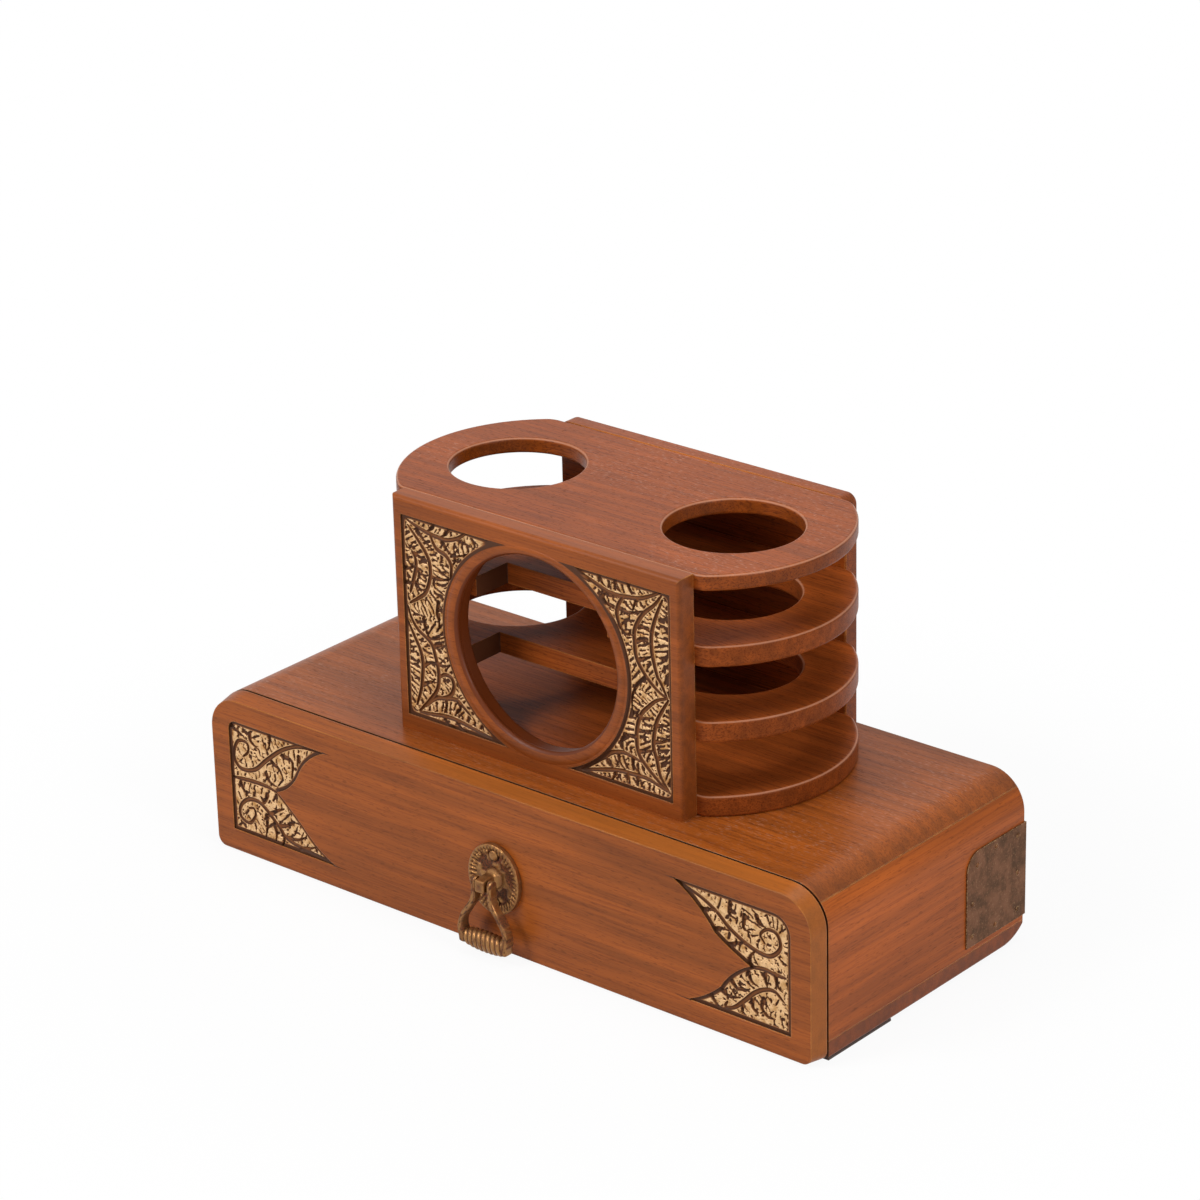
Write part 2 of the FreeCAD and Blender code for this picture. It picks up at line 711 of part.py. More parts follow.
def leaf_outline(edge_shares, curve_shares, corner_round):
    """Two pointed leaves side by side at the right end, with a cusp between them and double-curved edges.

    Gives the corners and curves of the outline, anticlockwise from the lower outer corner.
    """
    edge = [leaf_point(shares) for shares in edge_shares]
    corners = [("leaf_x", "leaf_bottom"), ("leaf_x", f"leaf_top - {corner_round}"),
               (f"leaf_x - {corner_round}", "leaf_top")]
    curves = {1: (corner_round, 1)}
    for i, share in enumerate(curve_shares):
        span = chord(edge[i], edge[i + 1])
        curves[len(corners) + i] = (f"{share} * {span}", EDGE_SIDES[i])
    return corners + edge, curves


def flipped_outline(corners, curves):
    """The left-hand twin of an outline, turned round again to run anticlockwise."""
    last = len(corners) - 1
    twin = [(f"-({x})", y) for x, y in reversed(corners)]
    return twin, {(last - 1 - i) % len(corners): curve for i, curve in curves.items()}


def front_outline(thing, half, top, low, corner):
    """The drawer front's outline, with rounded upper corners and small toes, anticlockwise from the left toe."""
    toe, foot = f"{half} - front_toe_round", f"{low} + front_toe_round"
    head, shoulder = f"{half} - {corner}", f"{top} - {corner}"
    outline(thing, [(f"-({toe})", low), (toe, low), (half, foot), (half, shoulder), (head, top),
                    (f"-({head})", top), (f"-{half}", shoulder), (f"-{half}", foot)],
            {1: ("front_toe_round", 1), 3: (corner, 1), 5: (corner, 1), 7: ("front_toe_round", 1)})


def make_drawer():
    """The drawer: a box of thin boards round a grooved-in floor, with the overlay front screwed to it."""
    pins, pin_holes = [], []
    length = "drawer_wall + pin_bite"
    for sign in ("-", "+"):
        inwards = "-x" if sign == "+" else "x"
        for depth in ("drawer_y + drawer_wall / 2", "drawer_rear - drawer_wall / 2"):
            for share in CORNER_PIN_SHARES:
                at = (f"{sign}drawer_half", depth, f"drawer_base + drawer_height * {share}")
                pins.append(cylinder("drawer_pin", "pin_radius", length, at, inwards))
                pin_holes.append(nail_hole("drawer_pin_hole", at, inwards, "pin_radius", length))
    node(gathered("drawer_pins", pins))
    pinned = gathered("drawer_pin_holes", pin_holes)

    screws, screw_holes = [], []
    for x in ("-", "+"):
        for rise in ("front_screw_rise_share", "(1 - front_screw_rise_share)"):
            at = (f"{x}front_screw_spacing / 2", "front_inside", f"drawer_base + drawer_height * {rise}")
            screws.append(screw("front_screw", at, "-y", "drawer_wall + screw_bite"))
            screw_holes.append(screw("front_screw_hole", at, "-y", "drawer_wall + screw_bite", "glue_gap"))
    node(gathered("front_screws", screws))
    screwed = gathered("front_screw_holes", screw_holes)

    floor_half = "(drawer_inner_half + groove_depth)"
    floor_front = "(front_inside - groove_depth)"
    floor_size = (f"2 * {floor_half}", "drawer_depth - 2 * drawer_wall + 2 * groove_depth", "drawer_floor")
    floor_at = (f"-{floor_half}", floor_front, "floor_base")
    node(box("drawer_bottom", floor_size, floor_at))
    groove = box("drawer_groove", [f"{size} + 2 * groove_gap" for size in floor_size],
                 [f"{start} - groove_gap" for start in floor_at])

    stack = "front_thickness + drawer_wall"
    bolt_hole = cylinder("bolt_hole", "bolt_radius + glue_gap", f"{stack} + 2 * overrun",
                         ("0", "face_y - overrun", "pull_height"), "y")
    side = box("drawer_side_blank", ("drawer_wall", "drawer_depth", "drawer_height"),
               ("drawer_inner_half", "drawer_y", "drawer_base"))
    right = node(cut("drawer_right_side", side, groove, pinned))
    node(mirrored("drawer_left_side", right))
    cross = ("2 * drawer_inner_half", "drawer_wall", "drawer_height")
    inner = box("inner_front_blank", cross, ("-drawer_inner_half", "drawer_y", "drawer_base"))
    node(cut("drawer_inner_front", inner, groove, pinned, screwed, bolt_hole))
    back = box("drawer_back_blank", cross,
               ("-drawer_inner_half", "drawer_rear - drawer_wall", "drawer_base"))
    node(cut("drawer_back", back, groove, pinned))

    front = body("drawer_front_blank", ("0", "face_y", "0"))
    face = sketch(front, "XZ_Plane", "drawer_face")
    front_outline(face, "face_half", "face_top", "face_foot", "face_round")
    rear = sketch(front, "XZ_Plane", "drawer_front_rear")
    rear.setExpression("AttachmentOffset.Base.z", on_sheet("-front_thickness"))
    front_outline(rear, "half_length", "box_height", "front_clearance", "corner_round")
    sloped(front, face, rear)
    leaf = sketch(front, "XZ_Plane", "right_leaves")
    outline(leaf, *leaf_outline(RIGHT_EDGE_SHARES, RIGHT_CURVE_SHARES, "leaf_corner_round"))
    pocket(front, leaf, "carving_depth")
    leaf = sketch(front, "XZ_Plane", "left_leaves")
    twin = leaf_outline(LEFT_EDGE_SHARES, LEFT_CURVE_SHARES, "left_leaf_corner_round")
    outline(leaf, *flipped_outline(*twin))
    pocket(front, leaf, "carving_depth")
    nails, nail_holes = backplate_nails()
    node(gathered("backplate_nails", nails))
    node(cut("drawer_front", front, screwed, bolt_hole, *nail_holes))
    make_pull(nail_holes)


def backplate_nails():
    """Two round-headed nails that hold the backplate, above and below the post."""
    nails, holes = [], []
    shape = ("plate_nail_radius", "plate_nail_length", "plate_nail_head_radius", "plate_nail_head_height")
    for sign in ("+", "-"):
        at = ("0", "dish_y", f"pull_height {sign} (backplate_height / 2 - plate_nail_inset)")
        nails.append(nail("backplate_nail", at, "y", *shape))
        holes.append(nail_hole("backplate_nail_hole", at, "y", *shape[:2]))
    return nails, holes


def oval(label, inset, depth, start):
    """An upright oval disc that stands out to the front, its border inside the backplate's by inset."""
    rim = DOC.addObject("Part::Ellipse", label + "_border")
    bind(rim, MajorRadius=f"backplate_height / 2 - {inset}", MinorRadius=f"backplate_width / 2 - {inset}")
    place(rim, ("0", start, "pull_height"), FreeCAD.Rotation(ALONG["z"], ALONG["-x"], ALONG["-y"], "ZXY"))
    disc = DOC.addObject("Part::Extrusion", label)
    disc.Base = rim
    disc.DirMode = "Custom"
    disc.Dir = ALONG["-y"]
    disc.Solid = True
    bind(disc, LengthFwd=depth)
    return disc


def make_pull(nail_holes):
    """The drop pull: a dished oval plate, a post bolted through the front, a bail that swings in the post."""
    plate = oval("backplate_blank", "0", "backplate_thickness + backplate_rim_rise", "face_y")
    dish = oval("backplate_dish", "backplate_rim", "backplate_rim_rise + overrun", "dish_y")
    bolt_hole = cylinder("backplate_bolt_hole", "bolt_radius + glue_gap",
                         "backplate_thickness + 2 * overrun", ("0", "dish_y - overrun", "pull_height"), "y")
    node(cut("pull_backplate", cut("backplate_dished", plate, dish), bolt_hole, *nail_holes))

    nose = body("post_nose", ("0", "face_y", "pull_height"))
    profile = sketch(nose, "YZ_Plane", "nose_profile")
    tip, top = "-(pivot_out + post_nose)", "post_height / 2"
    outline(profile, [(tip, f"-{top}"), ("-backplate_thickness", f"-{top}"), ("-backplate_thickness", top),
                      (f"{tip} + post_nose_round", top), (tip, f"{top} - post_nose_round")],
            {3: ("post_nose_round", 1)})
    pad(nose, profile, "post_width", midplane=True)
    seat = ("0", "dish_y", "pull_height")
    collar = cylinder("post_collar", "post_collar_radius", "post_collar_height", seat, "-y")
    clamped = "backplate_thickness + front_thickness + drawer_wall + washer_thickness + nut_thickness"
    bolt = cylinder("post_bolt", "bolt_radius", f"{clamped} + bolt_end", seat, "y")
    pivot_hole = cylinder("pivot_hole", "pivot_radius + pivot_gap", "post_width + 2 * overrun",
                          ("-post_width / 2 - overrun", "pivot_y", "pull_height"), "x")
    node(cut("pull_post", joined("post_blank", [nose, collar, bolt]), pivot_hole))

    washer = cylinder("washer_blank", "washer_radius", "washer_thickness",
                      ("0", "front_inside", "pull_height"), "y")
    bore = cylinder("washer_bore", "bolt_radius + glue_gap",
                    "washer_thickness + nut_thickness + 2 * overrun",
                    ("0", "front_inside - overrun", "pull_height"), "y")
    node(cut("pull_washer", washer, bore))
    nut = DOC.addObject("Part::Prism", "nut_blank")
    bind(nut, Circumradius="nut_width / sqrt(3)", Height="nut_thickness")
    place(nut, ("0", "front_inside + washer_thickness", "pull_height"),
          FreeCAD.Rotation(ALONG["z"], ALONG["y"]))
    node(cut("pull_nut", nut, bore))
    make_bail()


def make_bail():
    """The bail: two flared arms hung by pegs in the post, and a ribbed grip between their feet."""
    arm = body("bail_right_arm", ("0", "pivot_y", "pull_height"))
    profile = sketch(arm, "XZ_Plane", "arm_profile")
    flare, knee = f"-bail_drop * {FLARE_SHARE}", f"-bail_drop * {KNEE_SHARE}"
    foot = "-bail_drop - grip_core_radius"
    inner_flare, outer_flare = ("bail_inside", flare), ("bail_inside + bail_arm_width", flare)
    inner_knee, outer_knee = ("grip_half", knee), ("half_bail", knee)
    outline(profile, [("grip_half", foot), ("half_bail", foot), outer_knee, outer_flare,
                      ("bail_inside + bail_arm_width", "bail_eye_rise"), ("bail_inside", "bail_eye_rise"),
                      inner_flare, inner_knee],
            {2: (f"{FLARE_CURVE_SHARE} * {chord(outer_knee, outer_flare)}", -1),
             6: (f"{FLARE_CURVE_SHARE} * {chord(inner_flare, inner_knee)}", 1)})
    pad(arm, profile, "bail_depth", midplane=True)
    peg = cylinder("bail_peg", "pivot_radius", "bail_inside + bail_arm_width / 2 - bail_peg_gap",
                   ("bail_peg_gap", "pivot_y", "pull_height"), "x")
    right = joined("bail_right_half", [arm, peg])
    grip_z = "pull_height - bail_drop"
    pieces = [right, mirrored("bail_left_half", right)]
    pieces.append(cylinder("grip_core", "grip_core_radius", "2 * grip_half + bail_arm_width",
                           ("-grip_half - bail_arm_width / 2", "pivot_y", grip_z), "x"))
    for i in range(GRIP_RIBS):
        middle = f"grip_half * (2 * {i} + 1 - {GRIP_RIBS}) / {GRIP_RIBS}"
        at = (f"{middle} - grip_rib_length / 2", "pivot_y", grip_z)
        pieces.append(cylinder("grip_rib", "grip_radius", "grip_rib_length", at, "x"))
    node(joined("pull_bail", pieces))


def check_and_write():
    """Stops on any failed object or bad shape, then writes one file for each piece."""
    DOC.recompute()
    for thing in DOC.Objects:
        if "Invalid" in thing.State or "Error" in thing.State:
            raise RuntimeError(f"{thing.Label} failed: {thing.State}")
    for thing in NODES:
        if thing.Shape.isNull() or not thing.Shape.isValid():
            raise RuntimeError(f"{thing.Label} has no sound shape")
    os.makedirs("parts", exist_ok=True)
    for thing in NODES:
        thing.Shape.exportStep(f"parts/{thing.Label}.step")
        print(thing.Label, len(thing.Shape.Solids), round(thing.Shape.Volume))


fill_sheet()
make_box()
make_holder()
make_drawer()
check_and_write()
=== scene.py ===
"""Desk organizer with a drawer: its gilded carving, its cast drop pull and the finish of every board.

Metres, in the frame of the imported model. The shaping functions work in millimetres, and make_piece turns
their result into metres.
"""
import math

import bpy
import numpy as np
from mathutils import Matrix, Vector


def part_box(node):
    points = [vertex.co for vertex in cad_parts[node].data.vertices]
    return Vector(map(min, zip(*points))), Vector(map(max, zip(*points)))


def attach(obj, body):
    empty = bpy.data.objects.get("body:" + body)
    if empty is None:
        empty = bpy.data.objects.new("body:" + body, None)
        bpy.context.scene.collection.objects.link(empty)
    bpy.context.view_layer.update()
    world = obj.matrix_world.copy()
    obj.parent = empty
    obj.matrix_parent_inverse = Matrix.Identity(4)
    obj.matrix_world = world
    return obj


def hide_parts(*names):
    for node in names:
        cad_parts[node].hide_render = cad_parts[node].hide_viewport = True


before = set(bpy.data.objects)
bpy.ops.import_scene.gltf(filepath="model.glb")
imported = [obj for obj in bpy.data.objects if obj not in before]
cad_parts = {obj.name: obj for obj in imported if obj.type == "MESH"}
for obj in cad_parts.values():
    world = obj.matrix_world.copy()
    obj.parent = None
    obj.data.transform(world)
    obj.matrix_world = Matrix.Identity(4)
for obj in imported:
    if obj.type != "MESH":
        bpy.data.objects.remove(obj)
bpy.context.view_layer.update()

bl_info = {
    "name": "Carved Desk Organizer",
    "version": (1, 0, 0),
    "blender": (4, 5, 0),
    "location": "View3D > Sidebar > Organizer",
    "description": "Carving, drop pull, finishes and stage of a teak desk organizer",
    "category": "Add Mesh",
}

MM = 0.001


def linear(code):
    """Turns an sRGB hex colour into linear red, green and blue with full alpha."""
    levels = np.array([int(code[i:i + 2], 16) for i in (1, 3, 5)]) / 255
    dark, bright = levels / 12.92, ((levels + 0.055) / 1.055) ** 2.4
    return (*np.where(levels <= 0.04045, dark, bright).tolist(), 1.0)


def colour(label, note, code):
    """A colour property whose default is an sRGB hex value."""
    return bpy.props.FloatVectorProperty(name=label, description=note, subtype="COLOR", size=4,
                                         min=0.0, max=1.0, default=linear(code))


def length(label, note, millimetres):
    """A length property whose default is in millimetres."""
    return bpy.props.FloatProperty(name=label, description=note, unit="LENGTH", subtype="DISTANCE",
                                   min=0.0, precision=5, default=millimetres * MM)


def angle(label, note, degrees):
    """An angle property whose default is in degrees."""
    return bpy.props.FloatProperty(name=label, description=note, subtype="ANGLE",
                                   default=math.radians(degrees))


def power(label, note, watts):
    """A lamp's power property, in watts."""
    return bpy.props.FloatProperty(name=label, description=note, unit="POWER", default=watts)


class OrganizerTimber(bpy.types.PropertyGroup):
    """Colours and grain of the varnished teak."""
    dark: colour("Late wood", "Colour of the dark streaks", "#874618")
    light: colour("Early wood", "Colour of the pale streaks", "#A6561D")
    line: colour("Fibre lines", "Colour of the fine lines along the grain", "#6A300F")
    pore: colour("Pores", "Colour inside the open pores", "#4A2009")
    # The worn colour also stands in for the light caught on the sanded edges: partly wear, partly painted
    # highlight
    worn: colour("Worn edge", "Colour where the varnish is rubbed thin", "#D08A48")
    dust: colour("Wax bloom", "Colour of the wax and dust left in the pores of upper faces", "#C7A08C")
    streak: length("Streak width", "Distance between dark streaks across the grain", 3.6)
    pore_length: length("Pore length", "Length of one open pore along the grain", 3.2)
    edge: length("Edge softness", "Radius to which the edges are sanded", 0.7)


class OrganizerCarving(bpy.types.PropertyGroup):
    """Sizes and colours of the gilded carving."""
    gold: colour("Gold paint", "Bronze-powder paint on the raised parts", "#EFC38E")
    ground: colour("Ground", "Dark stain in the cuts", "#4C2A14")
    relief: length("Relief", "Height of the carving over its ground", 1.4)
    stem: length("Stem width", "Width of the main gouge cuts", 2.1)
    vein: length("Vein width", "Width of the lesser gouge cuts", 1.85)
    border: length("Border width", "Width of the sunk band along the outline", 1.7)
    pitch: length("Hatch pitch", "Distance between the fine knife cuts", 2.0)
    hatch_depth: length("Hatch depth", "Depth of the fine knife cuts", 0.7)
    bead_rise: length("Bead rise", "Height of the ring's bead over the panel", 0.35)


class OrganizerPull(bpy.types.PropertyGroup):
    """Sizes and colours of the cast drop pull."""
    brass: colour("Brass", "Cast brass, rubbed bright", "#9C7044")
    patina: colour("Patina", "Brown oxide in the hollows", "#3C2214")
    plate: colour("Corner plate", "Sheet brass gone dull", "#74492C")
    gadroons: bpy.props.IntProperty(name="Gadroons", description="Ribs round the plate's border",
                                    default=44, min=3)
    rib_pitch: length("Rib pitch", "Distance between the ribs of the grip", 2.3)
    rib_rise: length("Rib rise", "Height of the ribs of the grip", 0.42)


class OrganizerStage(bpy.types.PropertyGroup):
    """Camera, lamps and the room's light."""
    eye: bpy.props.FloatVectorProperty(name="Eye", description="Place of the camera", subtype="TRANSLATION",
                                       unit="LENGTH", default=(0.97938, -1.1345, 0.76132))
    azimuth: angle("Azimuth", "Turn of the camera round the object", 40.714)
    elevation: angle("Elevation", "Tilt of the camera down to the object", 23.041)
    roll: angle("Roll", "Lean of the camera", -1.423)
    lens: bpy.props.FloatProperty(name="Lens", description="Focal length in millimetres", default=129.73)
    ambient: bpy.props.FloatProperty(name="Ambient", description="Level of the room's light", default=0.14)
    key: power("Key", "Power of the lamp over the left shoulder", 21.0)
    fill: power("Fill", "Power of the lamp on the right", 16.0)
    top: power("Top", "Power of the lamp overhead", 11.0)


class OrganizerSettings(bpy.types.PropertyGroup):
    """Everything that a user would change."""
    timber: bpy.props.PointerProperty(name="Timber", description="Teak", type=OrganizerTimber)
    carving: bpy.props.PointerProperty(name="Carving", description="Carving", type=OrganizerCarving)
    pull: bpy.props.PointerProperty(name="Pull", description="Metalwork", type=OrganizerPull)
    stage: bpy.props.PointerProperty(name="Stage", description="Camera and light", type=OrganizerStage)


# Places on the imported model, in millimetres
FACE_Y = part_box("drawer_front")[0].y / MM
PANEL_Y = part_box("front_panel")[0].y / MM
PANEL_MIDDLE = (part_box("front_panel")[0].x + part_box("front_panel")[1].x) / 2 / MM
CARVING_DEPTH = 1.8
# How far a carved slab goes on behind its ground, and past the outline of its sunk field
SLAB_BACKING = 0.1
SLAB_OVERLAP = 0.12
# How far behind a face the stain of its sunk fields starts and ends
STAIN_START = 0.2
STAIN_END = 2.2
LEAF_END = 139.6
LEAF_LENGTH = 54.6
LEAF_BOTTOM = 10.0
LEAF_TOP = 57.5
RING_HEIGHT = 116.9
RING_RADIUS = 45.0
# How much less the ring's outside is at its top, and how far the carving reaches under the bead there
RING_FLAT = 2.4
FIELD_TUCK = 0.6
# The bead: its inner radius, its reach over the carving, its depth in the panel, its extra width at the top
BEAD_INSIDE = 39.0
BEAD_OVERLAP = 0.15
BEAD_SUNK = 1.6
BEAD_WIDENING = 0.8
FIELD_END = 65.4
FIELD_BOTTOM = 74.5
FIELD_TOP = 157.0
PIVOT_Y = FACE_Y - 7.4
PIVOT_Z = 31.0
# Middle of the bail's right arm, across and up, from its eye to its foot
ARM_LINE = [(4.0, 34), (4.0, 27), (4.9, 23.5), (7.8, 19.2), (10.1, 15.6), (11.1, 12.4), (10.9, 9.4),
            (10.4, 7), (10.2, 4)]
NAIL_HEAD = (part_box("backplate_nails")[1].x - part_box("backplate_nails")[0].x) / 2 / MM
# How far left of the holder's middle each shelf's notch ends, where shade is painted
NOTCHES = {"lower_middle_shelf": 40.2, "upper_middle_shelf": 35.2}
NOTCH_DEPTH = 28.0
# The back panel's upper corners, its rear edge and its front edge
BACK_CORNER = 4.0
BACK_ROUND = 1.8
BACK_EASE = 0.4
GRIP_REACH = 10.3
GRIP_HEIGHT = 6.8

# Each carved field is drawn as the right-hand one, with its outer end at the right. Stems are the wide gouge
# cuts and veins the narrow ones: points that a smooth curve passes through, across from the middle and up.
LEAVES = {
    "right": {
        "side": 1,
        "edge_shares": [(0.99, 1), (0.635, 0.655), (0.337, 0.476), (0.59, 0.208), (0.87, 0)],
        "curve_shares": [2.0, 5.0, 1.8, 2.5],
        "corner_round": 8.0,
        "stems": [
            [(86.5, 56.5), (97.5, 53.5), (105.5, 49.5), (111, 45), (118.5, 41), (125.5, 39), (130.5, 39.5),
             (134.5, 44), (133, 49), (128.5, 49.5), (125.5, 46.5), (127.5, 43.5)],
            [(120.5, 32), (127, 33), (132, 32.5), (137, 32.5)],
            [(136, 22.5), (132, 25.5), (127.5, 25), (122.5, 22), (118, 17.5), (113, 13), (109, 12),
             (110, 14.5)],
        ],
        "veins": [
            [(112, 55), (111.5, 50.5), (114.5, 49.5)], [(118.5, 52), (118, 47), (121, 46)],
            [(99, 48.5), (103, 49.5), (105, 49)], [(104.5, 42), (107.5, 43.5), (111, 43.5)],
            [(111.5, 38), (115.5, 40), (118.5, 40.5)], [(120.5, 33), (121, 36.5), (123, 39)],
            [(102.5, 15), (104.5, 12.5), (107, 11)], [(107.5, 18.5), (111, 17), (116, 18)],
            [(112.5, 23.5), (115, 21.5), (120, 22.5)], [(120, 29.5), (121.5, 26.5), (124.5, 25)],
            [(127.5, 31), (128, 28), (128.5, 26)], [(127, 21), (126, 17.5), (128.5, 14.5), (132, 14.5)],
            [(121.5, 18.5), (122, 16), (124.5, 13.5)], [(117, 15.5), (117, 12)],
            [(132, 32.5), (133.5, 28), (135.5, 26.5)], [(124, 53.5), (125, 51), (128, 50)],
        ],
    },
    "left": {
        "side": -1,
        "edge_shares": [(0.958, 1), (0.696, 0.752), (0.46, 0.488), (0.766, 0.181), (1.015, 0)],
        "curve_shares": [1.45, 1.24, 6.0, 2.6],
        "corner_round": 4.0,
        "stems": [
            [(88, 57), (101.5, 56), (111, 52), (119.5, 45.5), (127, 39), (134.5, 37.5), (138, 42),
             (135.5, 49), (130.5, 49.5), (130, 46), (133, 43)],
            [(139.5, 32.5), (129, 33.5), (120.5, 33.5), (115.5, 32.5)],
            [(86, 10.5), (102, 12), (110.5, 13.5), (115.5, 18), (122, 23.5), (126.5, 25.5), (132, 24.5),
             (136, 20.5), (136, 16), (131.5, 14.5), (128, 18.5), (128.5, 21.5), (131.5, 21)],
        ],
        "veins": [
            [(118, 58), (117.5, 54.5), (118.5, 50)], [(128.5, 54), (128, 51), (124, 48.5)],
            [(111, 49.5), (106.5, 49), (105.5, 46.5), (106.5, 41)], [(102, 51.5), (103, 48)],
            [(117, 45), (113, 43), (111, 39)], [(120.5, 39), (118.5, 36), (114.5, 35)],
            [(121.5, 20.5), (121.5, 16), (122.5, 11)], [(117.5, 18), (116.5, 14.5), (117, 11)],
            [(113.5, 16), (112.5, 13), (113.5, 10)], [(120, 21.5), (115.5, 24.5), (111.5, 26.5)],
            [(115, 18), (110.5, 19.5), (106.5, 21.5)], [(111, 14), (105, 15), (101, 17)],
            [(103.5, 11.5), (99, 13), (95.5, 14.5)], [(120.5, 30), (122, 26.5), (124.5, 25)],
            [(135, 31), (133, 28), (131, 26)], [(139, 55), (134, 53), (131, 51)],
        ],
    },
}
FIELDS = {
    "right": {
        "side": 1,
        "stems": [
            [(61, 157), (56.5, 154.5), (51, 152), (45.5, 151), (40.5, 150.5), (35, 151), (27.5, 153.5),
             (19, 156)],
            [(61, 155.5), (57.5, 151), (53, 147), (50, 143), (48, 138.5), (48, 134.5), (48.5, 129),
             (50.5, 125), (54, 121), (58.5, 117.5), (63, 115.5)],
            [(61.5, 154), (59, 148.5), (57, 143), (56, 138.5), (56, 132.5), (57, 128), (58.5, 123), (60, 121),
             (63, 115.5)],
            [(43, 150.5), (41, 147.5), (40, 144.5), (40, 142), (41.5, 137.5)],
            [(63, 115.5), (58, 113.5), (53.5, 109.5), (50.5, 106), (48.5, 100.5), (48, 95), (49, 89.5),
             (52.5, 85.5), (57.5, 81.5), (63.5, 77.5)],
            [(63.5, 115), (61, 111), (58, 105.5), (56.5, 100), (56, 94.5), (57.5, 89.5), (59, 83.5),
             (63.5, 77.5)],
            [(50, 86.5), (46, 87.5), (41, 88), (36, 86.5), (32, 83.5), (22, 76)],
            [(62.5, 78), (53.5, 80.5), (46, 80.5), (38.5, 80), (30.5, 78), (21.5, 75.5)],
        ],
        "veins": [
            [(41, 145.5), (45, 145), (49, 146), (53, 147.5)], [(33, 148.5), (35.5, 146), (39.5, 144.5)],
            [(32, 157), (32.5, 154.5), (35, 152.5)], [(39.5, 157), (39.5, 154), (42, 152)],
            [(45.5, 157.5), (46, 155), (48.5, 153)], [(49.5, 151.5), (48, 148), (47.5, 146)],
            [(41, 139), (43.5, 136.5), (48, 136.5)], [(33.5, 150), (37.5, 149.5), (41.5, 150)],
            [(50, 140.5), (52.5, 141), (56, 139.5)], [(49, 134.5), (52, 136), (55.5, 135)],
            [(50, 127.5), (53, 129), (56.5, 130.5)], [(33, 84), (34, 81.5), (37, 80)],
            [(39, 87), (40, 83.5), (43, 80.5)], [(46, 87), (46.5, 84), (50.5, 80.5)],
            [(47.5, 96), (43.5, 95.5), (40.5, 92.5), (42, 88.5)], [(57, 103), (60, 104), (63.5, 105)],
            [(56.5, 96.5), (60, 97.5), (63.5, 99)], [(57.5, 90), (60, 91), (63.5, 92.5)],
            [(48.5, 105), (51, 104.5), (56, 106)], [(48.5, 99), (51.5, 99.5), (56.5, 101)],
            [(49, 90.5), (52, 91.5), (56.5, 93)], [(37.5, 78.5), (36, 75.5)], [(43, 80), (43, 76.5)],
            [(48, 79.5), (48.5, 76.5)], [(53, 121.5), (49.5, 118), (46.5, 112), (46.5, 104)],
        ],
    },
    "left": {
        "side": -1,
        "stems": [
            [(63, 155), (54.5, 152.5), (47, 151.5), (43, 151.5), (37.5, 153.5), (32.5, 157)],
            [(51.5, 152), (48.5, 147), (43.5, 145), (41, 141.5), (41.5, 136)],
            [(62.5, 153), (57.5, 148), (54, 144), (52, 140), (52, 134), (54.5, 127.5), (58.5, 124),
             (63, 121)],
            [(61, 143), (59, 139.5), (59.5, 134.5), (61.5, 128.5), (62.5, 125.5)],
            [(64, 119.5), (62.5, 115), (59.5, 111), (56, 109), (52.5, 106.5), (51, 102.5), (50, 98.5),
             (49.5, 94.5), (50.5, 88.5), (54.5, 83), (60.5, 76.5)],
            [(64.5, 113.5), (61.5, 108), (58.5, 102.5), (57.5, 97.5), (58, 91.5), (59, 86), (61.5, 79)],
            [(49.5, 93.5), (46.5, 95.5), (43, 95), (42, 91.5), (44, 87.5), (48, 85.5), (51, 85.5)],
            [(60.5, 76.5), (54, 77), (47.5, 78), (41, 78), (34, 77), (24, 75.5)],
            [(57, 79.5), (52, 84), (47, 85.5), (41, 86.5), (37.5, 84.5), (34, 82)],
        ],
        "veins": [
            [(59.5, 142), (55.5, 141), (52.5, 140.5)], [(52, 134.5), (47, 134.5), (41.5, 136)],
            [(45, 150), (42, 147), (39, 146), (34, 147.5)], [(37, 153), (32, 152), (30, 151.5)],
            [(58, 152), (54, 148.5), (49, 145)], [(65, 135), (62, 135.5), (59.5, 137)],
            [(65.5, 129), (62, 129.5), (60, 131)], [(59, 136.5), (57, 134.5), (53, 134.5)],
            [(59.5, 130), (57, 128), (54, 128.5)], [(39, 146), (39, 144), (40.5, 141.5)],
            [(50, 157), (49.5, 155), (53, 152.5)], [(41, 157), (43, 154), (46, 152)],
            [(56, 116), (55, 112), (53.5, 109), (49.5, 109.5), (45, 111.5)],
            [(46.5, 85.5), (46, 82.5), (47.5, 79.5)], [(40.5, 86.5), (39, 83.5), (41.5, 80.5)],
            [(57.5, 88.5), (54, 90.5), (50.5, 91)], [(57, 96.5), (53, 99), (50.5, 99)],
            [(51, 106), (47, 107.5), (44, 108)], [(50.5, 99), (47, 99), (43.5, 100)],
            [(48, 125), (49, 120), (48, 116.5), (49, 112.5)], [(47.5, 77.5), (45.5, 75), (42, 74.5)],
            [(41, 77.5), (39, 75.5), (36.5, 74.5)],
        ],
    },
}
# How coarse the carving is, how much gold it keeps, and where its outer end is
LEAF_STYLE = {"scale": 1.15, "gold": 0.09, "end": LEAF_END}
FIELD_STYLE = {"scale": 1.0, "gold": 0.015, "end": FIELD_END}
# Which of a leaf edge's four curves bulge out of the leaf, and which bulge in
EDGE_SIDES = (-1, 1, 1, -1)


def corners(node):
    """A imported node's lowest and highest corner, in millimetres."""
    return [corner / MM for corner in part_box(node)]


def full_turn(steps):
    """Angles at even steps once round a circle."""
    return np.linspace(0, 2 * np.pi, steps, endpoint=False)


def smooth(start, end, level):
    """Rises from 0 at start to 1 at end along a cubic that is flat at both ends."""
    share = np.clip((level - start) / (end - start), 0, 1)
    return share * share * (3 - 2 * share)


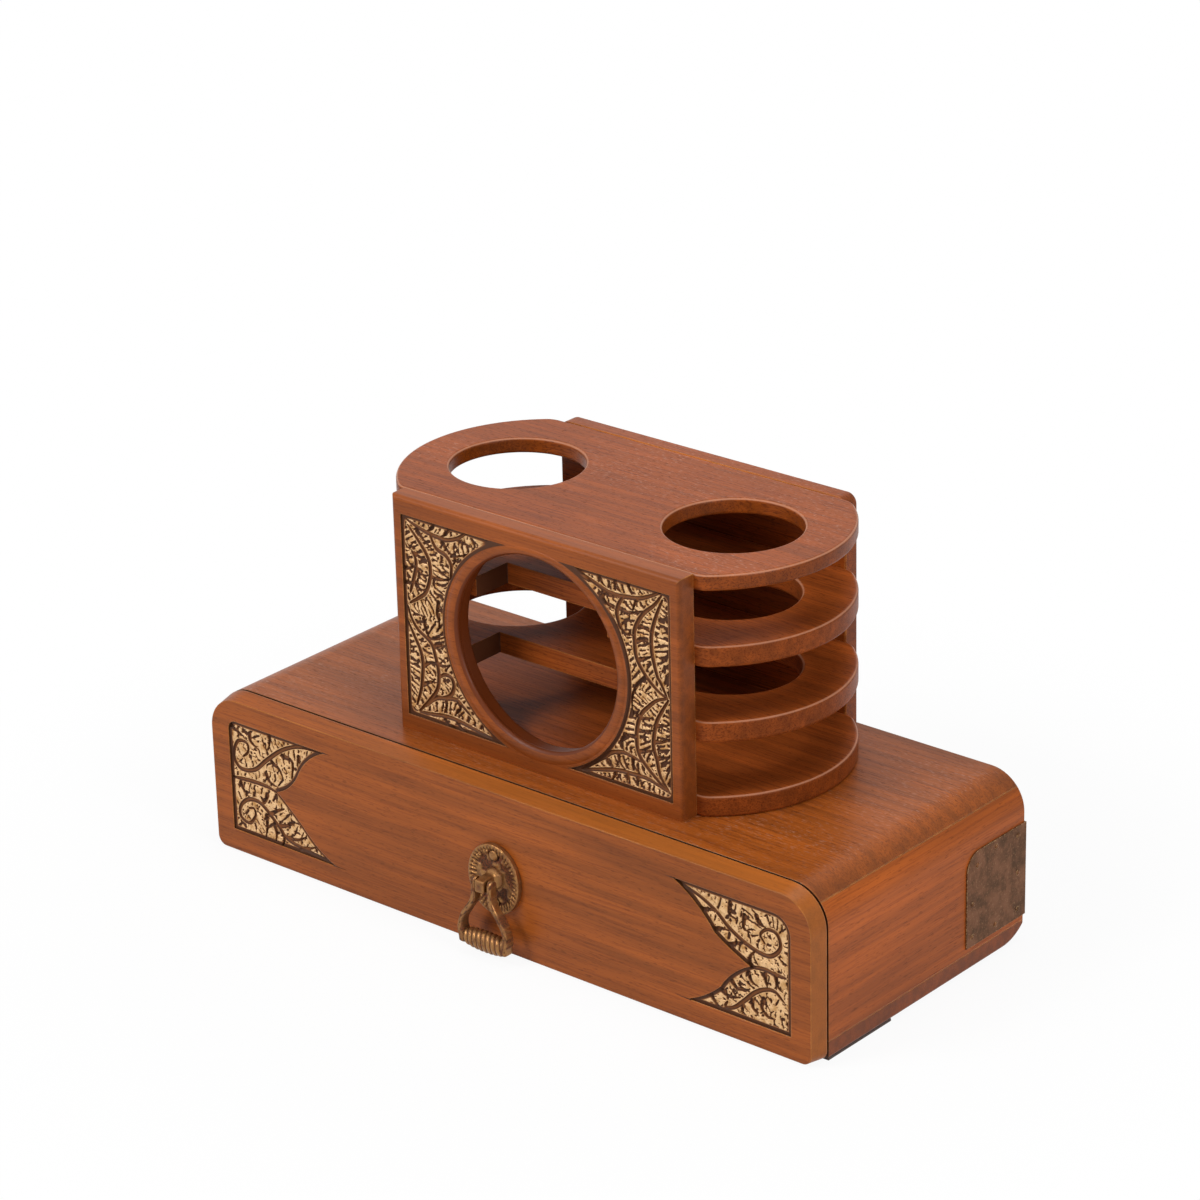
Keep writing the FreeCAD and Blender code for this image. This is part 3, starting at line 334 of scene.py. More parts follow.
def speckle(x, z, size, seed):
    """Random bumps between 0 and 1, size apart: hashed heights at a lattice's corners, blended in between."""
    u, v = x / size, z / size
    i, j = np.floor(u), np.floor(v)
    s, t = smooth(0, 1, u - i), smooth(0, 1, v - j)

    def corner(a, b):
        return np.modf(np.abs(np.sin(a * 127.1 + b * 311.7 + seed * 74.7) * 43758.5453))[0]

    near = corner(i, j) * (1 - s) + corner(i + 1, j) * s
    far = corner(i, j + 1) * (1 - s) + corner(i + 1, j + 1) * s
    return near * (1 - t) + far * t


def curve_through(points, per_span=8):
    """A smooth line through the points: cubic spans whose slope at a point is half its neighbours' chord."""
    p = np.asarray(points, float)
    ends = np.vstack([2 * p[0] - p[1], p, 2 * p[-1] - p[-2]])
    t = np.linspace(0, 1, per_span, endpoint=False)[None, :, None]
    a, b, c, d = (ends[i:len(ends) - 3 + i, None] for i in range(4))
    spans = 2 * b + (c - a) * t + (2 * a - 5 * b + 4 * c - d) * t ** 2 + (3 * b - a - 3 * c + d) * t ** 3
    return np.vstack([spans.reshape(-1, 2) / 2, p[-1:]])


def nearest(line, x, z):
    """The way from the nearest point of a line to every grid point, and how far along the line that lies.

    The line is a run of short straight pieces. The way is a complex number, across and up, and the second
    result is a share of the line's length.
    """
    start, way = line[:-1], np.diff(line, axis=0)
    run = np.hypot(way[:, 0], way[:, 1])
    unit = way / run[:, None]
    dx, dz = x[..., None] - start[:, 0], z[..., None] - start[:, 1]
    along = np.clip(dx * unit[:, 0] + dz * unit[:, 1], 0, run)
    off = dx - along * unit[:, 0] + 1j * (dz - along * unit[:, 1])
    pick = np.argmin(np.abs(off), axis=-1)[..., None]
    before = np.concatenate([[0], np.cumsum(run)[:-1]])
    here = np.take_along_axis(along + before, pick, -1)[..., 0]
    return np.take_along_axis(off, pick, -1)[..., 0], here / run.sum()


def grid_faces(rows, columns, around=False, looped=False):
    """Quads between the points of a grid, numbered row by row; around and looped close it on itself."""
    across = np.arange(columns if around else columns - 1)
    up = np.arange(rows if looped else rows - 1)[:, None]
    here, after = up * columns, (up + 1) % rows * columns
    right = (across + 1) % columns
    return np.stack([here + across, here + right, after + right, after + across], -1).reshape(-1, 4)


def turned_out(points, groups):
    """Lists the faces of a closed shell, turned outwards by the sign of the volume that they enclose."""
    volume = 0
    for group in groups:
        for i in range(1, group.shape[1] - 1):
            a, b, c = (points[group[:, k]] for k in (0, i, i + 1))
            volume += np.sum(a * np.cross(b, c))
    step = 1 if volume > 0 else -1
    return [face for group in groups for face in group[:, ::step].tolist()]


def capped(rings):
    """A shell from a stack of rings: quads from ring to ring, and a fan to a pole at each end's middle."""
    rows, columns, _ = rings.shape
    points = np.vstack([rings.reshape(-1, 3), rings[:1].mean(1), rings[-1:].mean(1)])
    here, after = np.arange(columns), (np.arange(columns) + 1) % columns
    last, pole = (rows - 1) * columns, np.full(columns, rows * columns)
    fans = [np.stack([after, here, pole], -1), np.stack([last + here, last + after, pole + 1], -1)]
    return points, turned_out(points, [grid_faces(rows, columns, around=True)] + fans)


def slab(x, y, z, back_y):
    """A carved slab: a grid as its face, walls from the grid's border to its back, and one flat back."""
    rows, columns = x.shape
    face = np.stack([x, y, z], -1).reshape(-1, 3)
    number = np.arange(len(face)).reshape(rows, columns)
    rim = np.concatenate([number[0, :-1], number[:-1, -1], number[-1, :0:-1], number[:0:-1, 0]])
    back = face[rim]
    back[:, 1] = back_y
    behind = len(face) + np.arange(len(rim))
    walls = np.stack([np.roll(rim, -1), rim, behind, np.roll(behind, -1)], -1)
    points = np.vstack([face, back])
    return points, turned_out(points, [grid_faces(rows, columns), walls, behind[None, ::-1]])


def together(shells):
    """Joins shells into one mesh, whose face numbers run on from shell to shell."""
    points, faces, start = [], [], 0
    for shell_points, shell_faces in shells:
        points.append(shell_points)
        faces += [[start + i for i in face] for face in shell_faces]
        start += len(shell_points)
    return np.vstack(points), faces


def make_piece(name, points, faces, body, material, shades=None, crease=None, replaced=()):
    """Puts a shape given in millimetres into the scene, with its shades as attributes, on its body."""
    mesh = bpy.data.meshes.new(name)
    mesh.from_pydata((points * MM).tolist(), [], faces)
    mesh.shade_smooth()
    if crease:
        mesh.set_sharp_from_angle(angle=math.radians(crease))
    for key, levels in (shades or {}).items():
        whole = np.zeros(len(points))
        whole[:levels.size] = levels.ravel()
        mesh.attributes.new(key, "FLOAT", "POINT").data.foreach_set("value", whole)
    mesh.materials.append(material)
    piece = bpy.data.objects.new(name, mesh)
    bpy.context.scene.collection.objects.link(piece)
    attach(piece, body)
    if replaced:
        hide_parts(*replaced)
    return piece


def relief(x, z, border, lines, style, look, seed):
    """Height of the carving over its ground and its share of gold, over a grid of points.

    Round-bottomed cuts follow the stems and veins, each as deep as 1 less the square of the distance to its
    middle over its half width: stems thin at both ends, veins from start to end. Between them random bumps,
    averaged along the way across the nearest stems, less their average half a pitch to either side, make
    ragged bars, and a knife cut is made where they are high. The band along the outline is sunk.
    """
    scale = style["scale"]
    pitch, band = scale * look.pitch / MM, scale * look.border / MM
    cut, near = np.zeros_like(x), np.full_like(x, LEAF_LENGTH)
    across = np.full_like(x, 1e-6, dtype=complex)
    for kind, width in (("stems", look.stem / MM), ("veins", scale * look.vein / MM)):
        for line in lines[kind]:
            off, share = nearest(curve_through(line), x, z)
            gap = np.abs(off)
            swell = np.sqrt(np.sin(np.pi * share).clip(0)) if kind == "stems" else 1.3 - 1.4 * share
            half = width / 2 * (0.4 + 0.6 * swell)
            cut = np.maximum(cut, 1 - (gap / half) ** 2)
            if kind == "stems":
                near = np.minimum(near, gap - half)
                across += (off / (gap + 0.01)) ** 2 / (gap + 0.5) ** 3
    way = np.sqrt(across / np.abs(across)) * np.exp(0.3j)
    bars = np.zeros_like(x)
    for weight, shift in ((1.0, 0.0), (-0.5, 0.5), (-0.5, -0.5)):
        for reach in np.linspace(-0.9, 0.9, 9):
            to = way * pitch * (reach + 1j * shift)
            bars += weight / 9 * speckle(x + to.real, z + to.imag, 0.45 * pitch, seed)
    ragged = style["gold"] + 0.1 * (speckle(x, z, 0.7, seed + 4) - 0.5)
    bars = smooth(ragged - 0.02, ragged + 0.04, bars + 0.1 * smooth(3.6, 1.2, style["end"] - x))
    blotch = smooth(0.82, 0.87, speckle(x, z, 2.0, seed + 3))
    tick = smooth(0.8, 0.86, speckle(x, z, 0.7, seed + 6))
    open_cell = smooth(0.12, 0.35, near) * smooth(0.7 * band, band + 0.2, border)
    hatch = np.maximum(np.maximum(bars, blotch), tick) * open_cell
    inside = smooth(band * 0.5, band, border)
    crown = 0.85 + 0.15 * smooth(0, 2, near)
    full = look.relief / MM * (0.8 + 0.2 * inside) * crown
    height = full * (1 - 0.8 * cut.clip(0)) - look.hatch_depth / MM * hatch
    groove = smooth(0.0, 0.3, cut) * (1 - 0.32 * smooth(0.5, 1.0, cut))
    gilt = inside * (1 - groove) * (1 - smooth(0.25, 0.6, hatch))
    return np.maximum(height, 0.08), gilt


def bowed(start, end, share, side):
    """An arc from start to end: its radius is share chords long, and side 1 bulges it right of the way."""
    start, end = np.array(start), np.array(end)
    way = end - start
    chord = np.hypot(*way)
    left = np.array([-way[1], way[0]]) / chord
    spread = math.asin(0.5 / share)
    turn = np.linspace(-spread, spread, 12)[:, None]
    rise = share * chord * (np.cos(turn) - math.cos(spread))
    return (start + end) / 2 + way / 2 * np.sin(turn) / math.sin(spread) - left * side * rise


def leaf_edge(leaf):
    """The inner edge of a pair of leaves, from the upper tip by way of the cusp to the lower tip."""
    tips = [(LEAF_END - LEAF_LENGTH * along, LEAF_BOTTOM + (LEAF_TOP - LEAF_BOTTOM) * up)
            for along, up in leaf["edge_shares"]]
    return np.vstack([bowed(*span) for span in zip(tips[:-1], tips[1:], leaf["curve_shares"], EDGE_SIDES)])


def leaf_grid(leaf, rows, columns, overlap):
    """Rows of points from the leaves' inner edge to their outer end, and each point's way to the outline."""
    edge, corner = leaf_edge(leaf)[::-1], leaf["corner_round"]
    z = np.linspace(LEAF_BOTTOM - overlap, LEAF_TOP + overlap, rows)[:, None]
    inner = np.interp(z, edge[:, 1], edge[:, 0]) - overlap
    over = np.clip(z - LEAF_TOP + corner, 0, corner)
    outer = LEAF_END - corner + np.sqrt(corner ** 2 - over ** 2) + overlap
    x = inner + (outer - inner) * np.linspace(0, 1, columns)
    bend = np.linspace(0, math.pi / 2, 9)
    rounded = np.stack([LEAF_END - corner * (1 - np.cos(bend)), LEAF_TOP - corner * (1 - np.sin(bend))], -1)
    outline = np.vstack([edge[::-1], [(LEAF_END, LEAF_BOTTOM)], rounded, edge[-1:]])
    z = z + 0 * x
    changes = np.append(True, np.any(np.diff(outline, axis=0), axis=1))
    return x, z, np.abs(nearest(outline[changes], x, z)[0])


def ring_outside(sine):
    """Outer radius of the ring's bead, which is less towards the top by the square of the angle's sine."""
    return RING_RADIUS - RING_FLAT * np.clip(sine, 0, 1) ** 2


def field_grid(rows, columns, overlap):
    """Rows of points from the ring to the field's outer end, and each point's way to the field's outline.

    The way is a soft least of the ways to the ring and the three straight sides, so that it has no crease.
    """
    sine = np.linspace(-1, 1, 200)
    edge = ring_outside(sine) - FIELD_TUCK * sine.clip(0) ** 2
    z = np.linspace(FIELD_BOTTOM - overlap, FIELD_TOP + overlap, rows)[:, None]
    inner = np.interp(z - RING_HEIGHT, edge * sine, edge * np.sqrt(1 - sine ** 2)) - overlap
    x = inner + (FIELD_END + overlap - inner) * np.linspace(0, 1, columns)
    z = z + 0 * x
    away = np.hypot(x, z - RING_HEIGHT)
    off_ring = away - np.interp((z - RING_HEIGHT) / away, sine, edge)
    ways = np.stack([FIELD_END - x, off_ring, z - FIELD_BOTTOM, FIELD_TOP - z])
    return x, z, -np.log(np.exp(-ways).sum(0)).clip(max=0)


def superellipse(columns, power):
    """Across and up of an outline between a circle, at power 2, and a square, at a high power."""
    turn = full_turn(columns)
    c, s = np.cos(turn), np.sin(turn)
    return np.sign(c) * np.abs(c) ** (2 / power), np.sign(s) * np.abs(s) ** (2 / power)


def lathe(radii, places, middle, columns=48):
    """Rings about an axis along Y: a radius for each place along it, round a middle across and up."""
    turn = full_turn(columns)
    radii = np.asarray(radii, float)[:, None]
    y = np.asarray(places, float)[:, None] + 0 * turn
    return np.stack([middle[0] + radii * np.cos(turn), y, middle[1] + radii * np.sin(turn)], -1)


def add(tree, kind, inputs=(), **settings):
    """Adds a node with its own settings; inputs, in order or by name, get a node to read or a constant."""
    node = tree.nodes.new("ShaderNode" + kind)
    for key, value in settings.items():
        setattr(node, key, value)
    for key, value in (inputs.items() if isinstance(inputs, dict) else enumerate(inputs)):
        if isinstance(value, bpy.types.Node):
            value = next(out for out in value.outputs if out.enabled)
        if isinstance(value, bpy.types.NodeSocket):
            tree.links.new(value, node.inputs[key])
        else:
            node.inputs[key].default_value = value
    return node


def new_material(name, turn=(0.0, 0.0, 0.0), seed=(0, 0, 0)):
    """A material, its tree, its shader, and the object's own place in millimetres, turned and shifted."""
    material = bpy.data.materials.new(name)
    material.use_nodes = True
    tree = material.node_tree
    own = add(tree, "TexCoord").outputs["Object"]
    place = add(tree, "Mapping", {"Vector": own, "Location": seed, "Rotation": turn, "Scale": (1 / MM,) * 3})
    return material, tree, tree.nodes["Principled BSDF"], place


def finish_shader(tree, shader, **sockets):
    """Gives the shader's sockets a node each; a name's underscore stands for a space."""
    for key, node in sockets.items():
        out = next(out for out in node.outputs if out.enabled)
        tree.links.new(out, shader.inputs[key.replace("_", " ")])


GRAIN_TURNS = {"x": (0.0, 0.0, 0.0), "y": (0.0, 0.0, -math.pi / 2), "z": (0.0, math.pi / 2, 0.0)}
GRAIN_AXES = {"x": (1, 0, 0), "y": (0, 1, 0)}
# Settings of the nodes that spread a level smoothly, blend two colours, and multiply
SPREAD = {"interpolation_type": "SMOOTHSTEP"}
BLEND = {"data_type": "RGBA"}
TIMES = {"operation": "MULTIPLY"}
# Real dark stain of the sunk fields, also used as painted shade in the crease at the foot of the ring's bead
POCKET_STAIN_AND_CREASE_SHADE = "#4A2C16"
# Painted shade inside the holder's round opening
BORE_SHADE = "#6A3113"
# Painted shade in the gap between the drawer front and the box
GAP_SHADE = "#44230F"
# Painted highlight on the drawer front's sloped top and end strips
SLOPE_HIGHLIGHT = "#C8792F"
# Painted highlight along the shelves' eased arrises
ARRIS_HIGHLIGHT = "#D69A7A"
# Painted shade at the left ends of the shelves' notches
NOTCH_SHADE = "#5A3420"
CAST_BRASS = "Cast brass, oxidised and rubbed"


def within(low, high):
    """A function that marks, in a node tree, what lies in a box given by two corners in millimetres."""
    def mark(tree):
        axes = add(tree, "SeparateXYZ", (add(tree, "TexCoord").outputs["Object"],))
        share = 1.0
        for axis, a, b in zip(axes.outputs, low, high):
            limits = (axis, (a + b) / 2 * MM, (b - a) / 2 * MM)
            share = add(tree, "Math", (share, add(tree, "Math", limits, operation="COMPARE")), **TIMES)
        return share
    return mark


def round_ring(least, most, start):
    """A function that marks what lies between two radii of the ring's middle, behind a place along Y."""
    def mark(tree):
        place = add(tree, "TexCoord").outputs["Object"]
        flat = add(tree, "VectorMath", (place, (1, 0, 1)), **TIMES)
        away = add(tree, "VectorMath", (flat, (PANEL_MIDDLE * MM, 0, RING_HEIGHT * MM)), operation="DISTANCE")
        limits = (away, (least + most) / 2 * MM, (most - least) / 2 * MM)
        share = add(tree, "Math", limits, operation="COMPARE")
        deep = add(tree, "SeparateXYZ", (place,)).outputs["Y"]
        behind = add(tree, "Math", (deep, start * MM), operation="GREATER_THAN")
        return add(tree, "Math", (share, behind), **TIMES)
    return mark


def slope_highlight_mask(tree):
    """Marks where a highlight is painted: the faces of the drawer front that lean away from its front,
    more towards its right.
    """
    out = add(tree, "SeparateXYZ", (add(tree, "NewGeometry").outputs["Normal"],)).outputs["Y"]
    across = add(tree, "SeparateXYZ", (add(tree, "TexCoord").outputs["Object"],)).outputs["X"]
    share = add(tree, "MapRange", (across, -130 * MM, 30 * MM, 0.0, 0.24), **SPREAD)
    return add(tree, "Math", (share, add(tree, "MapRange", (out, -0.995, -0.97))), **TIMES)


def arris_highlight_mask(tree):
    """Marks where a highlight is painted: the faces that lean up between a shelf's top and its edge."""
    up = add(tree, "SeparateXYZ", (add(tree, "NewGeometry").outputs["Normal"],)).outputs["Z"]
    leaning = add(tree, "MapRange", (up, 0.4, 0.65, 0.0, 0.48), **SPREAD)
    return add(tree, "Math", (leaning, add(tree, "MapRange", (up, 0.97, 0.85), **SPREAD)), **TIMES)


def bead_crease_shade_mask(tree):
    """Marks the foot of the ring's bead, where shade is painted in its crease."""
    return add(tree, "Attribute", attribute_name="stain").outputs["Fac"]


# How much of the teak's red, green and blue each board keeps
PLAIN = (1.0, 1.0, 1.0)
WARM = (1.12, 1.04, 1.05)
DULL = (0.94, 0.9, 0.95)
RED = (1.0, 0.86, 0.7)
DEEP_RED = (0.95, 0.85, 0.85)
ROSE = (1.08, 0.98, 1.25)


def varnished_teak(look, name, grain, seed, tint, lined, waxed, shine, stains_and_painted_light=()):
    """Plain-sawn teak, sanded and varnished satin.

    To the eye: brown-red streaks along the grain, fine fibres, short dark pores, a soft gloss that the fibres
    break up, end grain that soaked up more stain, edges rubbed paler, where the paler colour is also a
    painted highlight, and wax and dust that bloom whitish in the pores of faces that look up. The pores are
    drawn four times as coarse as real ones, or they would not show. Each extra mark is a colour and a
    function that marks,
    in the tree, where it lies: some are real stains, others painted shade or painted highlights.
    """
    material, tree, shader, place = new_material(name, GRAIN_TURNS[grain], seed)
    wide, long = look.streak / MM, look.pore_length / MM
    sizes = {
        "streak": ((30 * wide, wide, wide), 4.0),
        "patch": ((85, 38, 38), 2.0),
        "fibre": ((28, 0.6, 0.6), 2.0),
        "pore": ((long, 0.4, 0.4), 1.0),
        "wax": ((2.6, 0.55, 0.55), 1.0),
    }
    level = {}
    for key, (size, detail) in sizes.items():
        stretched = add(tree, "Mapping", {"Vector": place, "Scale": [1 / s for s in size]})
        level[key] = add(tree, "TexNoise", {"Vector": stretched, "Scale": 1.0, "Detail": detail})
    pores = add(tree, "MapRange", (level["pore"], 0.6, 0.7, 0.0, 0.9 * lined), **SPREAD)
    streaks = add(tree, "MapRange", (level["streak"], 0.25, 0.75), **SPREAD)
    dark, light, line = ([c * t for c, t in zip(shade, (*tint, 1))]
                         for shade in (look.dark, look.light, look.line))
    wood = add(tree, "Mix", {0: streaks, 6: dark, 7: light}, **BLEND)
    tone = add(tree, "MapRange", (level["patch"], 0.25, 0.75, 0.88, 1.12), **SPREAD)
    wood = add(tree, "VectorMath", {0: wood, "Scale": tone}, operation="SCALE")
    lines = add(tree, "MapRange", (level["fibre"], 0.45, 0.7, 0.0, lined), **SPREAD)
    wood = add(tree, "Mix", {0: lines, 6: wood, 7: line}, **BLEND)
    wood = add(tree, "Mix", {0: pores, 6: wood, 7: look.pore}, **BLEND)
    bevel = add(tree, "Bevel", {"Radius": look.edge}, samples=4)
    facing = add(tree, "NewGeometry").outputs["Normal"]
    along = add(tree, "VectorMath", (facing, GRAIN_AXES[grain]), operation="DOT_PRODUCT")
    soaked = add(tree, "MapRange", (add(tree, "Math", (along,), operation="ABSOLUTE"), 0.12, 0.8, 1.0, 0.66))
    wood = add(tree, "VectorMath", {0: wood, "Scale": soaked}, operation="SCALE")
    turned = add(tree, "VectorMath", (bevel, facing), operation="DOT_PRODUCT")
    edge = add(tree, "MapRange", (turned, 0.99, 0.9), **SPREAD)
    uneven = add(tree, "MapRange", (level["streak"], 0.35, 0.65, 0.35, 0.9), **SPREAD)
    # Partly wear and partly painted highlight: edges go paler towards the worn colour, which also stands for
    # their shine
    rubbed = add(tree, "Math", (edge, uneven), **TIMES)
    wood = add(tree, "Mix", {0: rubbed, 6: wood, 7: look.worn}, **BLEND)
    if waxed:
        up = add(tree, "SeparateXYZ", (facing,)).outputs["Z"]
        bloom = add(tree, "MapRange", (level["wax"], 0.6, 0.7, 0.0, waxed), **SPREAD)
        for mask, low, high in ((up, 0.9, 0.99), (level["patch"], 0.35, 0.65)):
            bloom = add(tree, "Math", (bloom, add(tree, "MapRange", (mask, low, high), **SPREAD)), **TIMES)
        wood = add(tree, "Mix", {0: bloom, 6: wood, 7: look.dust}, **BLEND)
    for code, where in stains_and_painted_light:
        wood = add(tree, "Mix", {0: where(tree), 6: wood, 7: linear(code)}, **BLEND)
    matt = add(tree, "MapRange", (rubbed, 0.0, 1.0, 0.38, 0.18))
    gloss = add(tree, "Math", (pores, 0.2, matt), operation="MULTIPLY_ADD")
    depth = add(tree, "Math", (level["fibre"], pores), operation="SUBTRACT")
    bump = add(tree, "Bump", {"Strength": 0.5, "Distance": 0.06 * MM, "Height": depth, "Normal": bevel})
    shader.inputs["Specular IOR Level"].default_value = shine
    finish_shader(tree, shader, Base_Color=wood, Roughness=gloss, Normal=bump)
    return material


def bare_wood(name, grain, seed, dark, light, line_width):
    """Planed wood left without finish, as inside a drawer.

    To the eye: pale and matt, with soft lines along the grain.
    """
    material, tree, shader, place = new_material(name, GRAIN_TURNS[grain], seed)
    level = []
    for size, detail in (((24 * line_width, line_width, line_width), 5.0), ((9, 0.5, 0.5), 2.0)):
        stretched = add(tree, "Mapping", {"Vector": place, "Scale": [1 / s for s in size]})
        level.append(add(tree, "TexNoise", {"Vector": stretched, "Scale": 1.0, "Detail": detail}))
    lines, fibre = level
    wood = add(tree, "Mix", {0: add(tree, "MapRange", (lines, 0.3, 0.7), **SPREAD), 6: linear(dark),
                             7: linear(light)}, **BLEND)
    wood = add(tree, "Mix", {0: add(tree, "MapRange", (fibre, 0.5, 0.75, 0.0, 0.35), **SPREAD), 6: wood,
                             7: linear(dark)}, **BLEND)
    matt = add(tree, "MapRange", (fibre, 0.3, 0.7, 0.55, 0.72), **SPREAD)
    bump = add(tree, "Bump", {"Strength": 0.4, "Distance": 0.08 * MM, "Height": fibre})
    finish_shader(tree, shader, Base_Color=wood, Roughness=matt, Normal=bump)
    return material


def gilded_carving(look):
    """Teak carved with a gouge, stained dark, its raised parts painted with bronze powder.

    To the eye: pale satin gold that is patchy and rubbed, over a dull dark brown ground in every cut.
    """
    material, tree, shader, place = new_material("Carved teak, bronze-powder gilding")
    gilt = add(tree, "Attribute", attribute_name="gilt").outputs["Fac"]
    patch = add(tree, "TexNoise", {"Vector": place, "Scale": 1 / 3.5, "Detail": 3.0})
    grit = add(tree, "TexNoise", {"Vector": place, "Scale": 1 / 0.45, "Detail": 2.0})
    paint = add(tree, "MapRange", (gilt, 0.45, 0.85), **SPREAD)
    worn = add(tree, "Math", (paint, add(tree, "MapRange", (grit, 0.3, 0.45, 0.45, 1.0), **SPREAD)), **TIMES)
    patches = add(tree, "MapRange", (patch, 0.4, 0.75), **SPREAD)
    gold = add(tree, "Mix", {0: patches, 6: look.gold, 7: linear("#BC8748")}, **BLEND)
    floor = add(tree, "MapRange", (gilt, 0.03, 0.45), **SPREAD)
    ground = add(tree, "Mix", {0: floor, 6: look.ground, 7: linear("#8A5228")}, **BLEND)
    skin = add(tree, "Mix", {0: worn, 6: ground, 7: gold}, **BLEND)
    metal = add(tree, "Math", (worn, 0.25), **TIMES)
    matt = add(tree, "MapRange", (worn, 0.0, 1.0, 0.6, 0.4))
    bump = add(tree, "Bump", {"Strength": 0.3, "Distance": 0.05 * MM, "Height": grit})
    shader.inputs["Specular IOR Level"].default_value = 0.25
    finish_shader(tree, shader, Base_Color=skin, Metallic=metal, Roughness=matt, Normal=bump)
    return material


def cast_brass(look):
    """Sand-cast brass, dipped dark and rubbed back.

    To the eye: warm brass on what stands up, brown oxide in the hollows, a grainy skin with small pits.
    """
    material, tree, shader, place = new_material(CAST_BRASS)
    hollow = add(tree, "Attribute", attribute_name="hollow").outputs["Fac"]
    patch = add(tree, "TexNoise", {"Vector": place, "Scale": 1 / 2.4, "Detail": 4.0, "Roughness": 0.6})
    pits = add(tree, "TexNoise", {"Vector": place, "Scale": 1 / 0.6, "Detail": 2.0})
    cloud = add(tree, "MapRange", (patch, 0.42, 0.72, 0.0, 0.7), **SPREAD)
    oxide = add(tree, "Math", (hollow, cloud), operation="MAXIMUM")
    pitted = add(tree, "MapRange", (pits, 0.62, 0.7, 0.0, 0.8), **SPREAD)
    oxide = add(tree, "Math", (oxide, pitted), operation="MAXIMUM")
    red = add(tree, "MapRange", (pits, 0.4, 0.62), **SPREAD)
    brown = add(tree, "Mix", {0: red, 6: look.patina, 7: linear("#70391F")}, **BLEND)
    metal = add(tree, "Mix", {0: oxide, 6: look.brass, 7: brown}, **BLEND)
    metallic = add(tree, "MapRange", (oxide, 0.0, 0.8, 0.9, 0.15))
    matt = add(tree, "MapRange", (oxide, 0.0, 1.0, 0.34, 0.6))
    bevel = add(tree, "Bevel", {"Radius": 0.25 * MM}, samples=4)
    skin = add(tree, "Math", (patch, pits), operation="SUBTRACT")
    bump = add(tree, "Bump", {"Strength": 0.5, "Distance": 0.12 * MM, "Height": skin, "Normal": bevel})
    shader.inputs["Specular IOR Level"].default_value = 0.2
    finish_shader(tree, shader, Base_Color=metal, Metallic=metallic, Roughness=matt, Normal=bump)
    return material


def dull_sheet_brass(look):
    """Rolled sheet brass, nailed on and gone dull under old varnish.

    To the eye: flat brown metal, cloudy, with scratches along the roll and brighter specks at its edges.
    """
    material, tree, shader, place = new_material("Sheet brass, tarnished")
    cloud = add(tree, "TexNoise", {"Vector": place, "Scale": 1 / 7, "Detail": 4.0, "Roughness": 0.6})
    grit = add(tree, "TexNoise", {"Vector": place, "Scale": 1 / 0.8, "Detail": 2.0})
    rolled = add(tree, "Mapping", {"Vector": place, "Scale": (1 / 0.5, 1 / 14, 1 / 0.5)})
    scratch = add(tree, "TexNoise", {"Vector": rolled, "Scale": 1.0, "Detail": 2.0})
    clouds = add(tree, "MapRange", (cloud, 0.35, 0.7), **SPREAD)
    metal = add(tree, "Mix", {0: clouds, 6: look.plate, 7: linear("#4E3420")}, **BLEND)
    specks = add(tree, "MapRange", (grit, 0.55, 0.75, 0.0, 0.45), **SPREAD)
    metal = add(tree, "Mix", {0: specks, 6: metal, 7: linear("#9C7350")}, **BLEND)
    bevel = add(tree, "Bevel", {"Radius": 0.4 * MM}, samples=4)
    facing = add(tree, "NewGeometry").outputs["Normal"]
    turned = add(tree, "VectorMath", (bevel, facing), operation="DOT_PRODUCT")
    edge = add(tree, "MapRange", (turned, 0.99, 0.85), **SPREAD)
    bright = add(tree, "Math", (edge, add(tree, "MapRange", (grit, 0.45, 0.6), **SPREAD)), **TIMES)
    metal = add(tree, "Mix", {0: bright, 6: metal, 7: linear("#C9A778")}, **BLEND)
    matt = add(tree, "MapRange", (cloud, 0.3, 0.7, 0.42, 0.62), **SPREAD)
    skin = add(tree, "Math", (grit, scratch), operation="ADD")
    bump = add(tree, "Bump", {"Strength": 0.4, "Distance": 0.05 * MM, "Height": skin, "Normal": bevel})
    shader.inputs["Metallic"].default_value = 0.35
    shader.inputs["Specular IOR Level"].default_value = 0.2
    finish_shader(tree, shader, Base_Color=metal, Roughness=matt, Normal=bump)
    return material


def zinc_plated_steel():
    """Steel screws, pins and nuts with a zinc plating.

    To the eye: bright grey, a little spangled, and dulled by handling.
    """
    material, tree, shader, place = new_material("Steel, zinc plated")
    spangle = add(tree, "TexNoise", {"Vector": place, "Scale": 1 / 1.5, "Detail": 3.0})
    share = add(tree, "MapRange", (spangle, 0.35, 0.65), **SPREAD)
    zinc = add(tree, "Mix", {0: share, 6: linear("#9A9C9E"), 7: linear("#C4C6C6")}, **BLEND)
    matt = add(tree, "MapRange", (spangle, 0.3, 0.7, 0.28, 0.45), **SPREAD)
    shader.inputs["Metallic"].default_value = 1.0
    finish_shader(tree, shader, Base_Color=zinc, Roughness=matt)
    return material


def wool_felt():
    """Pressed wool felt, dark brown.

    To the eye: matt, with tangled fibres that catch a little light. They are drawn coarser than real wool.
    """
    material, tree, shader, place = new_material("Wool felt, pressed")
    tangle = add(tree, "TexNoise", {"Vector": place, "Scale": 1 / 0.6, "Detail": 4.0, "Roughness": 0.7})
    share = add(tree, "MapRange", (tangle, 0.3, 0.7), **SPREAD)
    wool = add(tree, "Mix", {0: share, 6: linear("#2C1B14"), 7: linear("#4C3225")}, **BLEND)
    bump = add(tree, "Bump", {"Strength": 0.8, "Distance": 0.2 * MM, "Height": tangle})
    shader.inputs["Roughness"].default_value = 0.95
    shader.inputs["Sheen Weight"].default_value = 0.3
    finish_shader(tree, shader, Base_Color=wool, Normal=bump)
    return material


def dress(names, material):
    """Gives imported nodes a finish."""
    for name in names:
        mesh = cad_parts[name].data
        mesh.materials.clear()
        mesh.materials.append(material)


